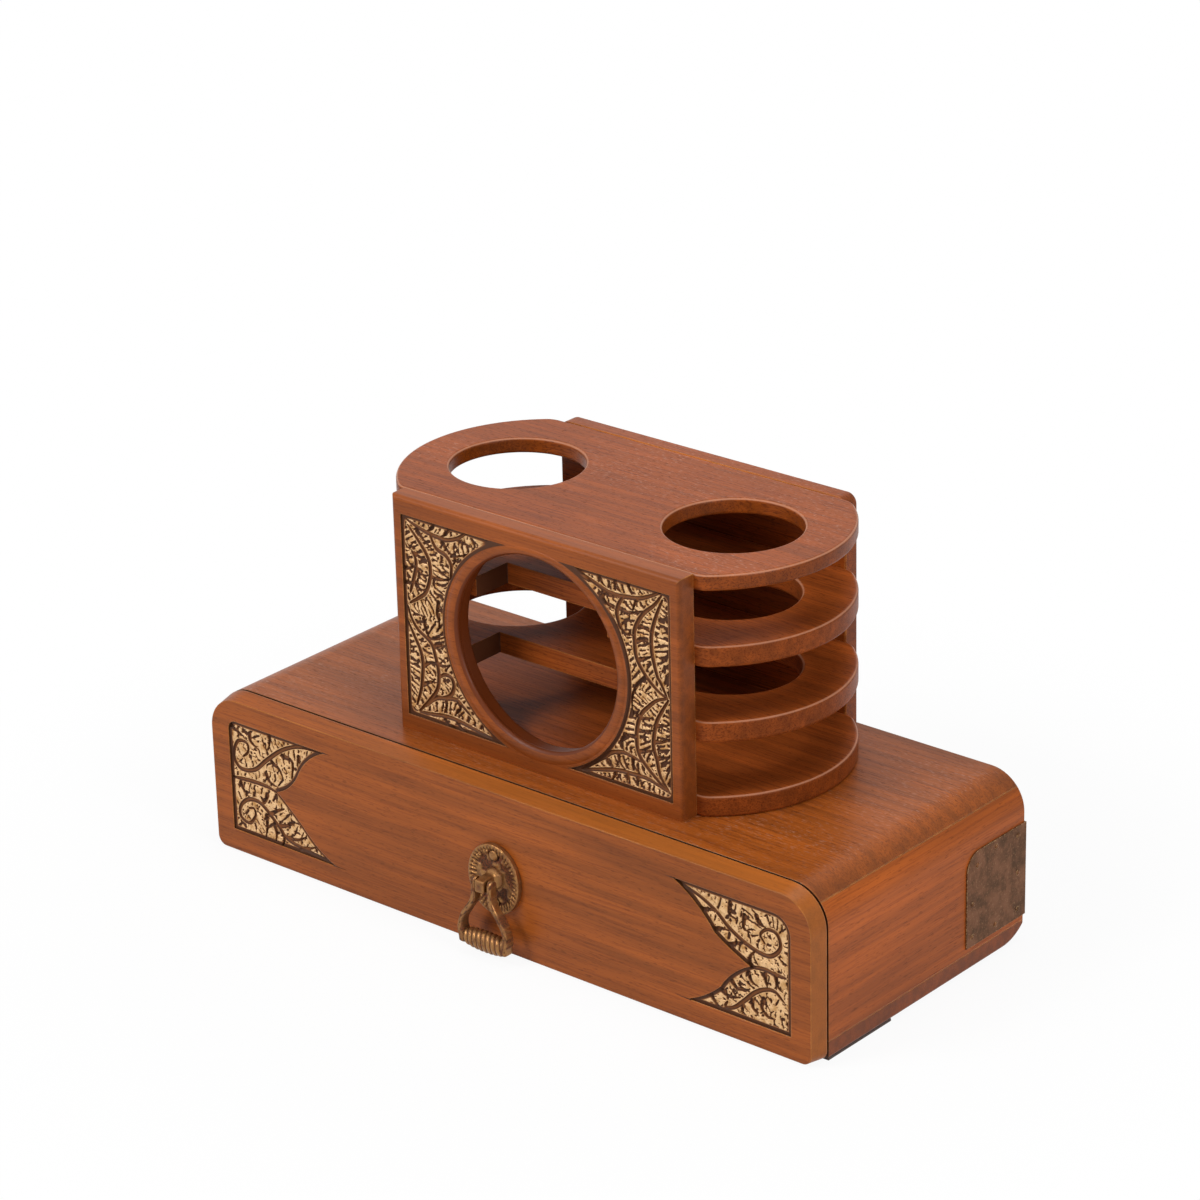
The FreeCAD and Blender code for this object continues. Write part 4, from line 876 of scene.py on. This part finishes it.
class ORGANIZER_OT_finish_boards(bpy.types.Operator):
    """Finishes every board of the box, the holder and the drawer"""
    bl_idname = "organizer.finish_boards"
    bl_label = "Finish boards"

    def execute(self, context):
        look = context.scene.organizer.timber
        front, gap_shade, shelf_highlight_and_shade, panel = self.stains_and_painted_light()
        varnished = [
            (["drawer_front"], "Teak, drawer front", "x", (11, 0, 3), PLAIN, 0.4, 0.0, 0.2, front),
            (["top_board"], "Teak, box top", "x", (140, 37, 71), PLAIN, 0.55, 0.25, 0.2, gap_shade),
            (["right_side_board", "left_side_board"],
             "Teak, box sides", "y", (300, 9, 45), WARM, 0.42, 0.0, 0.15, gap_shade),
            (["bottom_board", "back_board"],
             "Teak, box bottom and back", "x", (520, 66, 13), DEEP_RED, 0.35, 0.0, 0.2, gap_shade),
            (["top_shelf"], "Teak, top shelf", "x", (77, 210, 160), RED, 0.75, 0.4, 0.16, shelf_highlight_and_shade),
            (["bottom_shelf", "lower_middle_shelf", "upper_middle_shelf"],
             "Teak, lower shelves", "x", (610, 40, 330), ROSE, 0.65, 0.0, 0.08, shelf_highlight_and_shade),
            (["front_panel"], "Teak, front panel", "x", (205, 150, 20), DULL, 0.35, 0.0, 0.2, panel),
        ]
        bare = [
            (["drawer_right_side", "drawer_left_side"],
             "Teak, planed, drawer sides", "y", (15, 80, 9), "#8A5A36", "#B98557", 4.0),
            (["drawer_inner_front", "drawer_back"],
             "Teak, planed, drawer ends", "x", (95, 8, 119), "#8A5A36", "#B98557", 4.0),
            (["drawer_bottom"], "Plywood, birch faced", "x", (31, 0, 64), "#B98F62", "#D8B78B", 9.0),
            (["box_dowels", "holder_dowels"], "Beech dowel", "z", (5, 5, 5), "#B98A60", "#D6AE84", 1.5),
        ]
        for names, *finish in varnished:
            dress(names, varnished_teak(look, *finish))
        for names, *finish in bare:
            dress(names, bare_wood(*finish))
        back = varnished_teak(look, "Teak, back panel", "x", (77, 210, 160), RED, 0.75, 0.3, 0.16)
        self.round_back_panel(back)
        return {"FINISHED"}

    def stains_and_painted_light(self):
        """Colours and marks: the drawer front's painted highlight and pocket stain, painted shade in the gap
        behind the front, the shelves' painted highlights and shade, and the front panel's stain and painted
        shade.
        """
        leaves = within((-LEAF_END - 1.4, FACE_Y + STAIN_START, LEAF_BOTTOM - 1),
                        (LEAF_END + 1.4, FACE_Y + STAIN_END, LEAF_TOP + 1))
        # The drawer front: a painted highlight on its slopes, and real dark stain in its leaf pockets
        front = [(SLOPE_HIGHLIGHT, slope_highlight_mask), (POCKET_STAIN_AND_CREASE_SHADE, leaves)]
        # Painted shade on the box's boards just behind the drawer front, where the gap is
        gap_shade = [(GAP_SHADE, within((-160, FACE_Y + 7, 0), (160, FACE_Y + 8.6, 80)))]
        # The shelves: painted highlights on their arrises, and painted shade at the end of each notch
        shelf_highlight_and_shade = [(ARRIS_HIGHLIGHT, arris_highlight_mask)]
        # Painted shade on the left wall of each shelf's notch
        for name, reach in NOTCHES.items():
            low, high = corners(name)
            end = PANEL_MIDDLE - reach
            notch = within((end - 0.3, low.y, low.z), (end + 0.3, low.y + NOTCH_DEPTH, high.z))
            shelf_highlight_and_shade.append((NOTCH_SHADE, notch))
        reach = FIELD_END + 0.3
        pockets = within((PANEL_MIDDLE - reach, PANEL_Y + STAIN_START, FIELD_BOTTOM - 0.3),
                         (PANEL_MIDDLE + reach, PANEL_Y + STAIN_END, FIELD_TOP + 0.3))
        # The front panel: real stain in its pockets, painted shade inside its round opening and at the bead's
        # foot
        bore = round_ring(0, RING_RADIUS - 0.2, PANEL_Y + 0.1)
        return front, gap_shade, shelf_highlight_and_shade, [(POCKET_STAIN_AND_CREASE_SHADE, pockets), (BORE_SHADE, bore), (POCKET_STAIN_AND_CREASE_SHADE, bead_crease_shade_mask)]

    def round_back_panel(self, material):
        """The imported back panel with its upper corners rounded.

        One outline is drawn in at both faces: a little in front, and along a quarter circle behind.
        """
        low, high = (np.array(corner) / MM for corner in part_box("back_panel"))
        bend = np.linspace(0, math.pi / 2, 9)
        arc = BACK_CORNER * np.stack([np.cos(bend) - 1, np.sin(bend) - 1], -1)
        half, middle = (high - low) / 2, (high + low) / 2
        right = np.vstack([[(half[0], -half[2])], arc + (half[0], half[2])])
        outline = np.vstack([right, right[::-1] * (-1, 1)])
        stops = [(low[1], BACK_EASE), (low[1] + BACK_EASE, 0)]
        stops += [(high[1] - BACK_ROUND * (1 - math.sin(a)), BACK_ROUND * (1 - math.cos(a))) for a in bend]
        rings = []
        for y, inset in stops:
            across, up = (outline * (1 - inset / half[[0, 2]])).T
            rings.append(np.stack([middle[0] + across, np.full_like(across, y), middle[2] + up], -1))
        points, faces = capped(np.array(rings))
        make_piece("back_panel_rounded", points, faces, "carcase", material, crease=40,
                   replaced=["back_panel"])


class ORGANIZER_OT_finish_fittings(bpy.types.Operator):
    """Finishes the corner plates, the fasteners and the felt pads"""
    bl_idname = "organizer.finish_fittings"
    bl_label = "Finish fittings"

    def execute(self, context):
        dress(["right_corner_plate", "left_corner_plate", "corner_plate_nails"],
              dull_sheet_brass(context.scene.organizer.pull))
        dress(["holder_screws", "front_screws", "drawer_pins", "pull_washer", "pull_nut"],
              zinc_plated_steel())
        dress(["felt_pads"], wool_felt())
        return {"FINISHED"}


class ORGANIZER_OT_carve_leaves(bpy.types.Operator):
    """Carves the pair of leaves at each end of the drawer front"""
    bl_idname = "organizer.carve_leaves"
    bl_label = "Carve drawer leaves"

    def execute(self, context):
        look = context.scene.organizer.carving
        material = gilded_carving(look)
        ground = FACE_Y + CARVING_DEPTH
        for seed, (name, leaf) in enumerate(LEAVES.items()):
            x, z, border = leaf_grid(leaf, 230, 220, SLAB_OVERLAP)
            height, gilt = relief(x, z, border, leaf, LEAF_STYLE, look, seed)
            shells = [slab(leaf["side"] * x, ground - height, z, ground + SLAB_BACKING)]
            shells += [self.tail(leaf, end, reach) for end, reach in ((0, 3.5), (-1, 6.0))]
            points, faces = together(shells)
            make_piece(f"drawer_leaves_{name}", points, faces, "drawer", material, {"gilt": gilt})
        return {"FINISHED"}

    def tail(self, leaf, end, reach):
        """A knife cut filled with stain, which runs on from a leaf's tip and narrows to nothing."""
        tip = leaf_edge(leaf)[end]
        across = np.array([tip[0] + 1.5, tip[0] + 1.5, tip[0] - reach])
        up = tip[1] + np.array([-0.3, 0.3, 0])
        rings = [np.stack([leaf["side"] * across, np.full(3, FACE_Y + y), up], -1) for y in (0.05, -0.02)]
        return capped(np.array(rings))


class ORGANIZER_OT_carve_panel(bpy.types.Operator):
    """Carves the leaf scrolls beside the holder's ring, and turns the bead of the ring"""
    bl_idname = "organizer.carve_panel"
    bl_label = "Carve holder panel"

    def execute(self, context):
        look = context.scene.organizer.carving
        material = gilded_carving(look)
        ground = PANEL_Y + CARVING_DEPTH
        for seed, (name, field) in enumerate(FIELDS.items()):
            x, z, border = field_grid(340, 190, SLAB_OVERLAP)
            height, gilt = relief(x, z, border, field, FIELD_STYLE, look, 10 + seed)
            # Where the ring is flat the carving lies on whole wood, as a skin a little proud of it
            skin = np.minimum(ground - height, PANEL_Y - 0.02 - 0.1 * height)
            on_wood = np.hypot(x, z - RING_HEIGHT) < RING_RADIUS + BEAD_OVERLAP
            y = np.where(on_wood, skin, ground - height)
            points, faces = slab(PANEL_MIDDLE + field["side"] * x, y, z, ground + SLAB_BACKING)
            make_piece(f"panel_scrolls_{name}", points, faces, "carcase", material, {"gilt": gilt})
        self.turn_bead(look)
        return {"FINISHED"}

    def turn_bead(self, look):
        """An oval section carried round the opening: half sunk in the panel, its crest a little proud."""
        columns, rows = 240, 28
        round_, section = full_turn(columns), full_turn(rows)
        outside = ring_outside(np.sin(round_)) + BEAD_OVERLAP
        half = (outside - BEAD_INSIDE + BEAD_WIDENING * np.sin(round_).clip(0) ** 2) / 2
        radius = outside - half + half * np.cos(section)[:, None]
        y = PANEL_Y + BEAD_SUNK - (BEAD_SUNK + look.bead_rise / MM) * np.sin(section)[:, None]
        points = np.stack([PANEL_MIDDLE + radius * np.cos(round_), y + 0 * round_,
                           RING_HEIGHT + radius * np.sin(round_)], -1).reshape(-1, 3)
        faces = turned_out(points, [grid_faces(rows, columns, around=True, looped=True)])
        # Painted shade: the bead darkens towards its outer foot, in the crease where it meets the panel
        stain = smooth(-0.9, -0.25, radius - outside)
        make_piece("ring_bead", points, faces, "carcase", bpy.data.materials["Teak, front panel"],
                   {"stain": stain})


class ORGANIZER_OT_cast_plate(bpy.types.Operator):
    """Casts the pull's oval backplate with its gadrooned border, and the two nails that hold it"""
    bl_idname = "organizer.cast_plate"
    bl_label = "Cast backplate"

    def execute(self, context):
        look = context.scene.organizer.pull
        material = cast_brass(look)
        low, high = corners("pull_backplate")
        middle, half = (low + high) / 2, (high - low) / 2
        turn = full_turn(416)
        share = np.concatenate([np.linspace(0.02, 0.7, 14), np.linspace(0.72, 1, 26)])[:, None]
        inset = (1 - share) * (half.x + half.z) / 2
        tall, dish_height, slope_rise, rib_rise, roll_radius = 2 * half.y, 1.15, 0.7, 0.32, 0.85
        rib = np.cos(look.gadroons * turn)
        roll = np.sqrt(np.clip(1 - ((inset - roll_radius) / roll_radius) ** 2, 0, 1))
        slope = smooth(4.2, 1.4, inset)
        ribs = rib_rise * rib * smooth(0.6, 1.6, inset) * smooth(4.2, 3.2, inset)
        height = dish_height + slope_rise * slope + ribs
        height += (tall - dish_height - slope_rise) * roll * (0.85 + 0.15 * rib)
        x, z = middle.x + share * half.x * np.sin(turn), middle.z + share * half.z * np.cos(turn)
        dish = smooth(1.0, 0.6, slope)
        grain, lumps = speckle(x, z, 0.9, 5) - 0.5, smooth(0.5, 0.75, speckle(x, z, 2.3, 6))
        height += (0.4 * grain + 0.5 * lumps) * dish
        valley = smooth(0.1, -0.7, rib) * smooth(0.5, 1.2, inset) * smooth(4.6, 3.6, inset)
        hollow = np.maximum(smooth(1.75, 1.2, height) * 0.95, 0.85 * valley)
        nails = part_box("backplate_nails")
        for place in (nails[0].z / MM + NAIL_HEAD, nails[1].z / MM - NAIL_HEAD):
            pit = smooth(NAIL_HEAD + 0.9, NAIL_HEAD + 0.2, np.hypot(x - middle.x, z - place))
            height, hollow = height - 0.45 * pit, np.maximum(hollow, pit)
        height = np.minimum(height, tall)
        face = np.stack([x, high.y - height, z], -1)
        wall = np.linspace(0.9, 0, 4)[:, None] * height[-1]
        side = np.stack([x[-1] + 0 * wall, high.y - wall, z[-1] + 0 * wall], -1)
        points, faces = capped(np.concatenate([face, side]))
        make_piece("cast_backplate", points, faces, "drawer", material, {"hollow": hollow},
                   replaced=("pull_backplate",))
        self.drive_nails(material)
        return {"FINISHED"}

    def drive_nails(self, material):
        """Two nails turned about Y: a shank, and a head whose face falls from its middle as a flat dome."""
        low, high = corners("backplate_nails")
        head, shank, seat = NAIL_HEAD, 0.7, low.y + 1.1
        radius = np.concatenate([[0.2, shank, shank], head * np.sin(np.linspace(0.5 * np.pi, 0.02, 12))])
        dome = seat - 0.8 * np.sqrt(1 - (radius[3:] / head) ** 2.6).clip(0) - 0.02
        place = np.concatenate([[high.y, high.y - 1, seat], dome])
        heads = [capped(lathe(radius, place, (0, z))) for z in (low.z + head, high.z - head)]
        points, faces = together(heads)
        hollow = np.zeros(len(points))
        make_piece("backplate_nail_heads", points, faces, "drawer", material, {"hollow": hollow},
                   replaced=("backplate_nails",))


class ORGANIZER_OT_cast_post(bpy.types.Operator):
    """Casts the post that carries the bail, with the bolt that holds it to the drawer front"""
    bl_idname = "organizer.cast_post"
    bl_label = "Cast post"

    def execute(self, context):
        low, high = corners("pull_post")
        nose = FACE_Y - low.y
        out = np.concatenate([np.linspace(1.0, 5.0, 14), np.linspace(5.4, nose - 0.5, 10),
                              nose - 0.5 + 0.5 * np.sin(np.linspace(0.2, 1.5, 6))])[:, None]
        flare = smooth(4.8, 1.2, out) ** 1.5
        tip = np.clip((out - nose + 0.6) / 0.6, 0, 1)
        pinch = 1 - 0.12 * tip ** 2
        neck_width, neck_height = 2.15, 3.0
        half_width = (neck_width + 2.2 * flare) * pinch
        taper = smooth(4.5, nose, out)
        top = neck_height + 1.6 * flare - 0.4 * taper - 0.3 * tip ** 2
        bottom = -neck_height - 1.2 * flare + 0.8 * taper
        across, up = superellipse(56, 9.0)
        round_across, round_up = superellipse(56, 2.0)
        across, up = across + (round_across - across) * flare, up + (round_up - up) * flare
        rings = np.stack([half_width * across, FACE_Y - out + 0 * across,
                          PIVOT_Z + (top + bottom) / 2 + (top - bottom) / 2 * up], -1)
        place = np.linspace(FACE_Y - 0.8, high.y, 120)
        bolt_radius, shank, pitch, depth = 2.0, 12, 0.7, 0.1
        thread = np.where(place > FACE_Y + shank, depth * np.cos(2 * np.pi * place / pitch) - depth, 0)
        bolt = capped(lathe(bolt_radius + thread, place, (0, PIVOT_Z)))
        points, faces = together([capped(rings), bolt])
        hollow = smooth(3.4, 1.6, out) * 0.6 + 0 * across
        make_piece("cast_post", points, faces, "drawer", bpy.data.materials[CAST_BRASS],
                   {"hollow": np.append(hollow, (0, 1))}, crease=45, replaced=("pull_post",))
        return {"FINISHED"}


class ORGANIZER_OT_cast_bail(bpy.types.Operator):
    """Casts the bail: two flared arms hung on pegs, and a grip with slanting ribs between their feet"""
    bl_idname = "organizer.cast_bail"
    bl_label = "Cast bail"

    def execute(self, context):
        look = context.scene.organizer.pull
        high = corners("pull_bail")[1]
        forms = [self.arm(-1, high), self.arm(1, high), self.grip(look)]
        pegs = [capped(self.peg(side)) for side in (-1, 1)]
        points, faces = together([capped(rings) for rings, _ in forms] + pegs)
        shades = [np.append(hollow, (0, 0)) for _, hollow in forms]
        make_piece("cast_bail", points, faces, "bail", bpy.data.materials[CAST_BRASS],
                   {"hollow": np.concatenate(shades)}, crease=50, replaced=("pull_bail",))
        return {"FINISHED"}

    def arm(self, side, high):
        """Level slices down the arm: their middles lie on a curve, and they widen where it slants."""
        eye_radius = 2.3
        z = np.concatenate([high.z - eye_radius + eye_radius * np.sin(np.linspace(1.45, 0, 8)),
                            np.linspace(high.z - 2.6, 5.4, 44), [5.1, 4.95, 4.9]])[:, None]
        line = curve_through(ARM_LINE)
        middle = np.interp(-z, -line[:, 1], line[:, 0])
        steep = np.gradient(middle[:, 0], z[:, 0])[:, None]
        half_width = (1.1 + 0.3 * smooth(14, 8, z)) * np.sqrt(1 + steep ** 2)
        eye = np.sqrt(1 - np.clip((z - high.z + eye_radius) / (eye_radius + 0.05), 0, 1) ** 2)
        toe = 1 - 0.12 * smooth(5.4, 4.9, z)
        half_depth = (2.0 + 0.45 * smooth(14, 8, z)) * eye * toe
        across, deep = superellipse(40, 5.0)
        x = side * middle + half_width * toe * across
        dent = 0.2 * (speckle(z + 40 * side, 3 * across + 0 * z, 1.3, 21) - 0.5)
        y = PIVOT_Y + (half_depth + dent) * deep
        worn = 0.12 * (1 - across ** 2)
        hollow = smooth(0.6, 0.7, speckle(0.7 * z + 9 * side, 3 * across + 0 * z, 1.0, 8) + worn) * 0.9
        inner = smooth(0.2, 0.9, -side * across) * smooth(26, 14, z) * 0.7
        return np.stack([x, y, z + 0 * x], -1), np.maximum(hollow, inner)

    def grip(self, look):
        """Rings along the grip, which swells in the middle: its ribs are a wave that slants round it."""
        x = np.linspace(-GRIP_REACH, GRIP_REACH, 150)[:, None]
        turn = full_turn(48)
        wave = np.abs(np.cos(np.pi * x / (look.rib_pitch / MM) + 1.7 * np.cos(turn - 0.6)))
        bulge = np.sqrt(1 - (x / GRIP_REACH) ** 2)
        radius = 2.25 + 0.8 * bulge + look.rib_rise / MM * (wave ** 0.7)
        y = PIVOT_Y + 0.55 + radius * np.cos(turn)
        z = GRIP_HEIGHT + (1 + 0.25 * bulge) * radius * np.sin(turn)
        return np.stack([x + 0 * turn, y, z], -1), smooth(0.6, 0.2, wave) * 0.9

    def peg(self, side):
        """A round peg from the arm towards the post."""
        turn = full_turn(24)
        x = side * np.array([3.6, 2.4, 2.35])[:, None] + 0 * turn
        radius = np.array([1.2, 1.2, 1.1])[:, None]
        return np.stack([x, PIVOT_Y + radius * np.cos(turn), PIVOT_Z + radius * np.sin(turn)], -1)


class ORGANIZER_OT_set_stage(bpy.types.Operator):
    """Sets the floor, the room's light, the lamps and the camera"""
    bl_idname = "organizer.set_stage"
    bl_label = "Set stage"

    def execute(self, context):
        scene, look = context.scene, context.scene.organizer.stage
        scene.view_settings.view_transform = "Standard"
        self.lay_floor()
        self.light_room(scene, look)
        lamps = [("key_lamp", look.key, 0.7, (-0.75, -1.35, 1.35)),
                 ("fill_lamp", look.fill, 0.7, (1.7, -0.3, 0.9)),
                 ("top_lamp", look.top, 0.9, (0.1, 0.15, 1.7))]
        for name, power, width, place in lamps:
            lamp = bpy.data.lights.new(name, "AREA")
            lamp.energy, lamp.size = power, width
            thing = bpy.data.objects.new(name, lamp)
            thing.matrix_world = self.aimed(np.array(place), np.array((0, 0, 0.07)))
            scene.collection.objects.link(thing)
        self.set_camera(scene, look)
        return {"FINISHED"}

    def lay_floor(self):
        """A wide white floor: shaded by the object near it, plain white to the eye further out."""
        reach = 4.0
        mesh = bpy.data.meshes.new("floor")
        mesh.from_pydata([(-reach, -reach, 0), (reach, -reach, 0), (reach, reach, 0), (-reach, reach, 0)], [],
                         [(0, 1, 2, 3)])
        floor = bpy.data.objects.new("floor", mesh)
        bpy.context.scene.collection.objects.link(floor)
        material, tree, shader, place = new_material("White studio paper")
        tree.nodes.remove(shader)
        away = add(tree, "VectorMath", (place, (0, 0, 0)), operation="DISTANCE")
        white = add(tree, "Emission", {"Color": (1, 1, 1, 1), "Strength": 1.0})
        paper = add(tree, "BsdfDiffuse", {"Color": (0.86, 0.86, 0.86, 1)})
        plain = add(tree, "MapRange", (away, 150, 330, 0.92, 1.0), **SPREAD)
        share = add(tree, "Math", (self.seen(tree), plain), **TIMES)
        both = add(tree, "MixShader", (share, paper, white)).outputs[0]
        tree.links.new(both, tree.nodes["Material Output"].inputs["Surface"])
        mesh.materials.append(material)

    def light_room(self, scene, look):
        """White to the eye and in reflections, and a soft even light on the object otherwise."""
        world = bpy.data.worlds.new("room")
        world.use_nodes = True
        tree = world.node_tree
        level = add(tree, "MapRange", (self.seen(tree), 0.0, 1.0, look.ambient, 1.0)).outputs[0]
        sky = tree.nodes["Background"]
        sky.inputs["Color"].default_value = (1, 1, 1, 1)
        tree.links.new(level, sky.inputs["Strength"])
        scene.world = world

    def seen(self, tree):
        """1 for what the camera sees, by itself, in a mirror or through glass."""
        rays = add(tree, "LightPath").outputs
        seen = rays["Is Camera Ray"]
        for kind in ("Is Glossy Ray", "Is Transmission Ray"):
            seen = add(tree, "Math", (seen, rays[kind]), operation="MAXIMUM")
        return seen

    def aimed(self, place, target):
        """The pose of a lamp that looks from a place to a target."""
        back = (place - target) / np.linalg.norm(place - target)
        right = np.cross((0, 0, 1), back)
        right /= np.linalg.norm(right)
        return self.pose(right, np.cross(back, right), back, place)

    def pose(self, right, up, back, place):
        """The matrix whose columns are three directions and a place."""
        matrix = np.eye(4)
        matrix[:3] = np.stack([right, up, back, place], -1)
        return Matrix(matrix.tolist())

    def set_camera(self, scene, look):
        """The camera looks along its azimuth and elevation, and leans by its roll."""
        az, el, roll = look.azimuth, look.elevation, look.roll
        ahead = np.array([-math.sin(az) * math.cos(el), math.cos(az) * math.cos(el), -math.sin(el)])
        level = np.array([math.cos(az), math.sin(az), 0])
        rise = np.cross(level, ahead)
        right = math.cos(roll) * level + math.sin(roll) * rise
        up = math.cos(roll) * rise - math.sin(roll) * level
        camera = bpy.data.cameras.new("camera")
        camera.lens, camera.sensor_width = look.lens, 36.0
        thing = bpy.data.objects.new("camera", camera)
        thing.matrix_world = self.pose(right, up, -ahead, np.array(look.eye))
        scene.collection.objects.link(thing)
        scene.camera = thing


class ORGANIZER_PT_panel(bpy.types.Panel):
    """Lists the steps and the sizes and colours that they use"""
    bl_idname = "ORGANIZER_PT_panel"
    bl_label = "Desk organizer"
    bl_space_type = "VIEW_3D"
    bl_region_type = "UI"
    bl_category = "Organizer"

    def draw(self, context):
        for step in STEPS:
            self.layout.operator(step.bl_idname)
        settings = context.scene.organizer
        for group in (settings.timber, settings.carving, settings.pull, settings.stage):
            box = self.layout.box()
            for key in group.__annotations__:
                box.prop(group, key)


GROUPS = (OrganizerTimber, OrganizerCarving, OrganizerPull, OrganizerStage, OrganizerSettings)
STEPS = (ORGANIZER_OT_finish_boards, ORGANIZER_OT_finish_fittings, ORGANIZER_OT_carve_leaves,
         ORGANIZER_OT_carve_panel, ORGANIZER_OT_cast_plate, ORGANIZER_OT_cast_post, ORGANIZER_OT_cast_bail,
         ORGANIZER_OT_set_stage)


def register():
    for kind in (*GROUPS, *STEPS, ORGANIZER_PT_panel):
        bpy.utils.register_class(kind)
    bpy.types.Scene.organizer = bpy.props.PointerProperty(name="Organizer", description="Desk organizer",
                                                          type=OrganizerSettings)


def unregister():
    del bpy.types.Scene.organizer
    for kind in reversed((*GROUPS, *STEPS, ORGANIZER_PT_panel)):
        bpy.utils.unregister_class(kind)


def main():
    """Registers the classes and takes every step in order."""
    register()
    bpy.ops.organizer.finish_boards()
    bpy.ops.organizer.finish_fittings()
    bpy.ops.organizer.carve_leaves()
    bpy.ops.organizer.carve_panel()
    bpy.ops.organizer.cast_plate()
    bpy.ops.organizer.cast_post()
    bpy.ops.organizer.cast_bail()
    bpy.ops.organizer.set_stage()


if __name__ == "__main__":
    main()
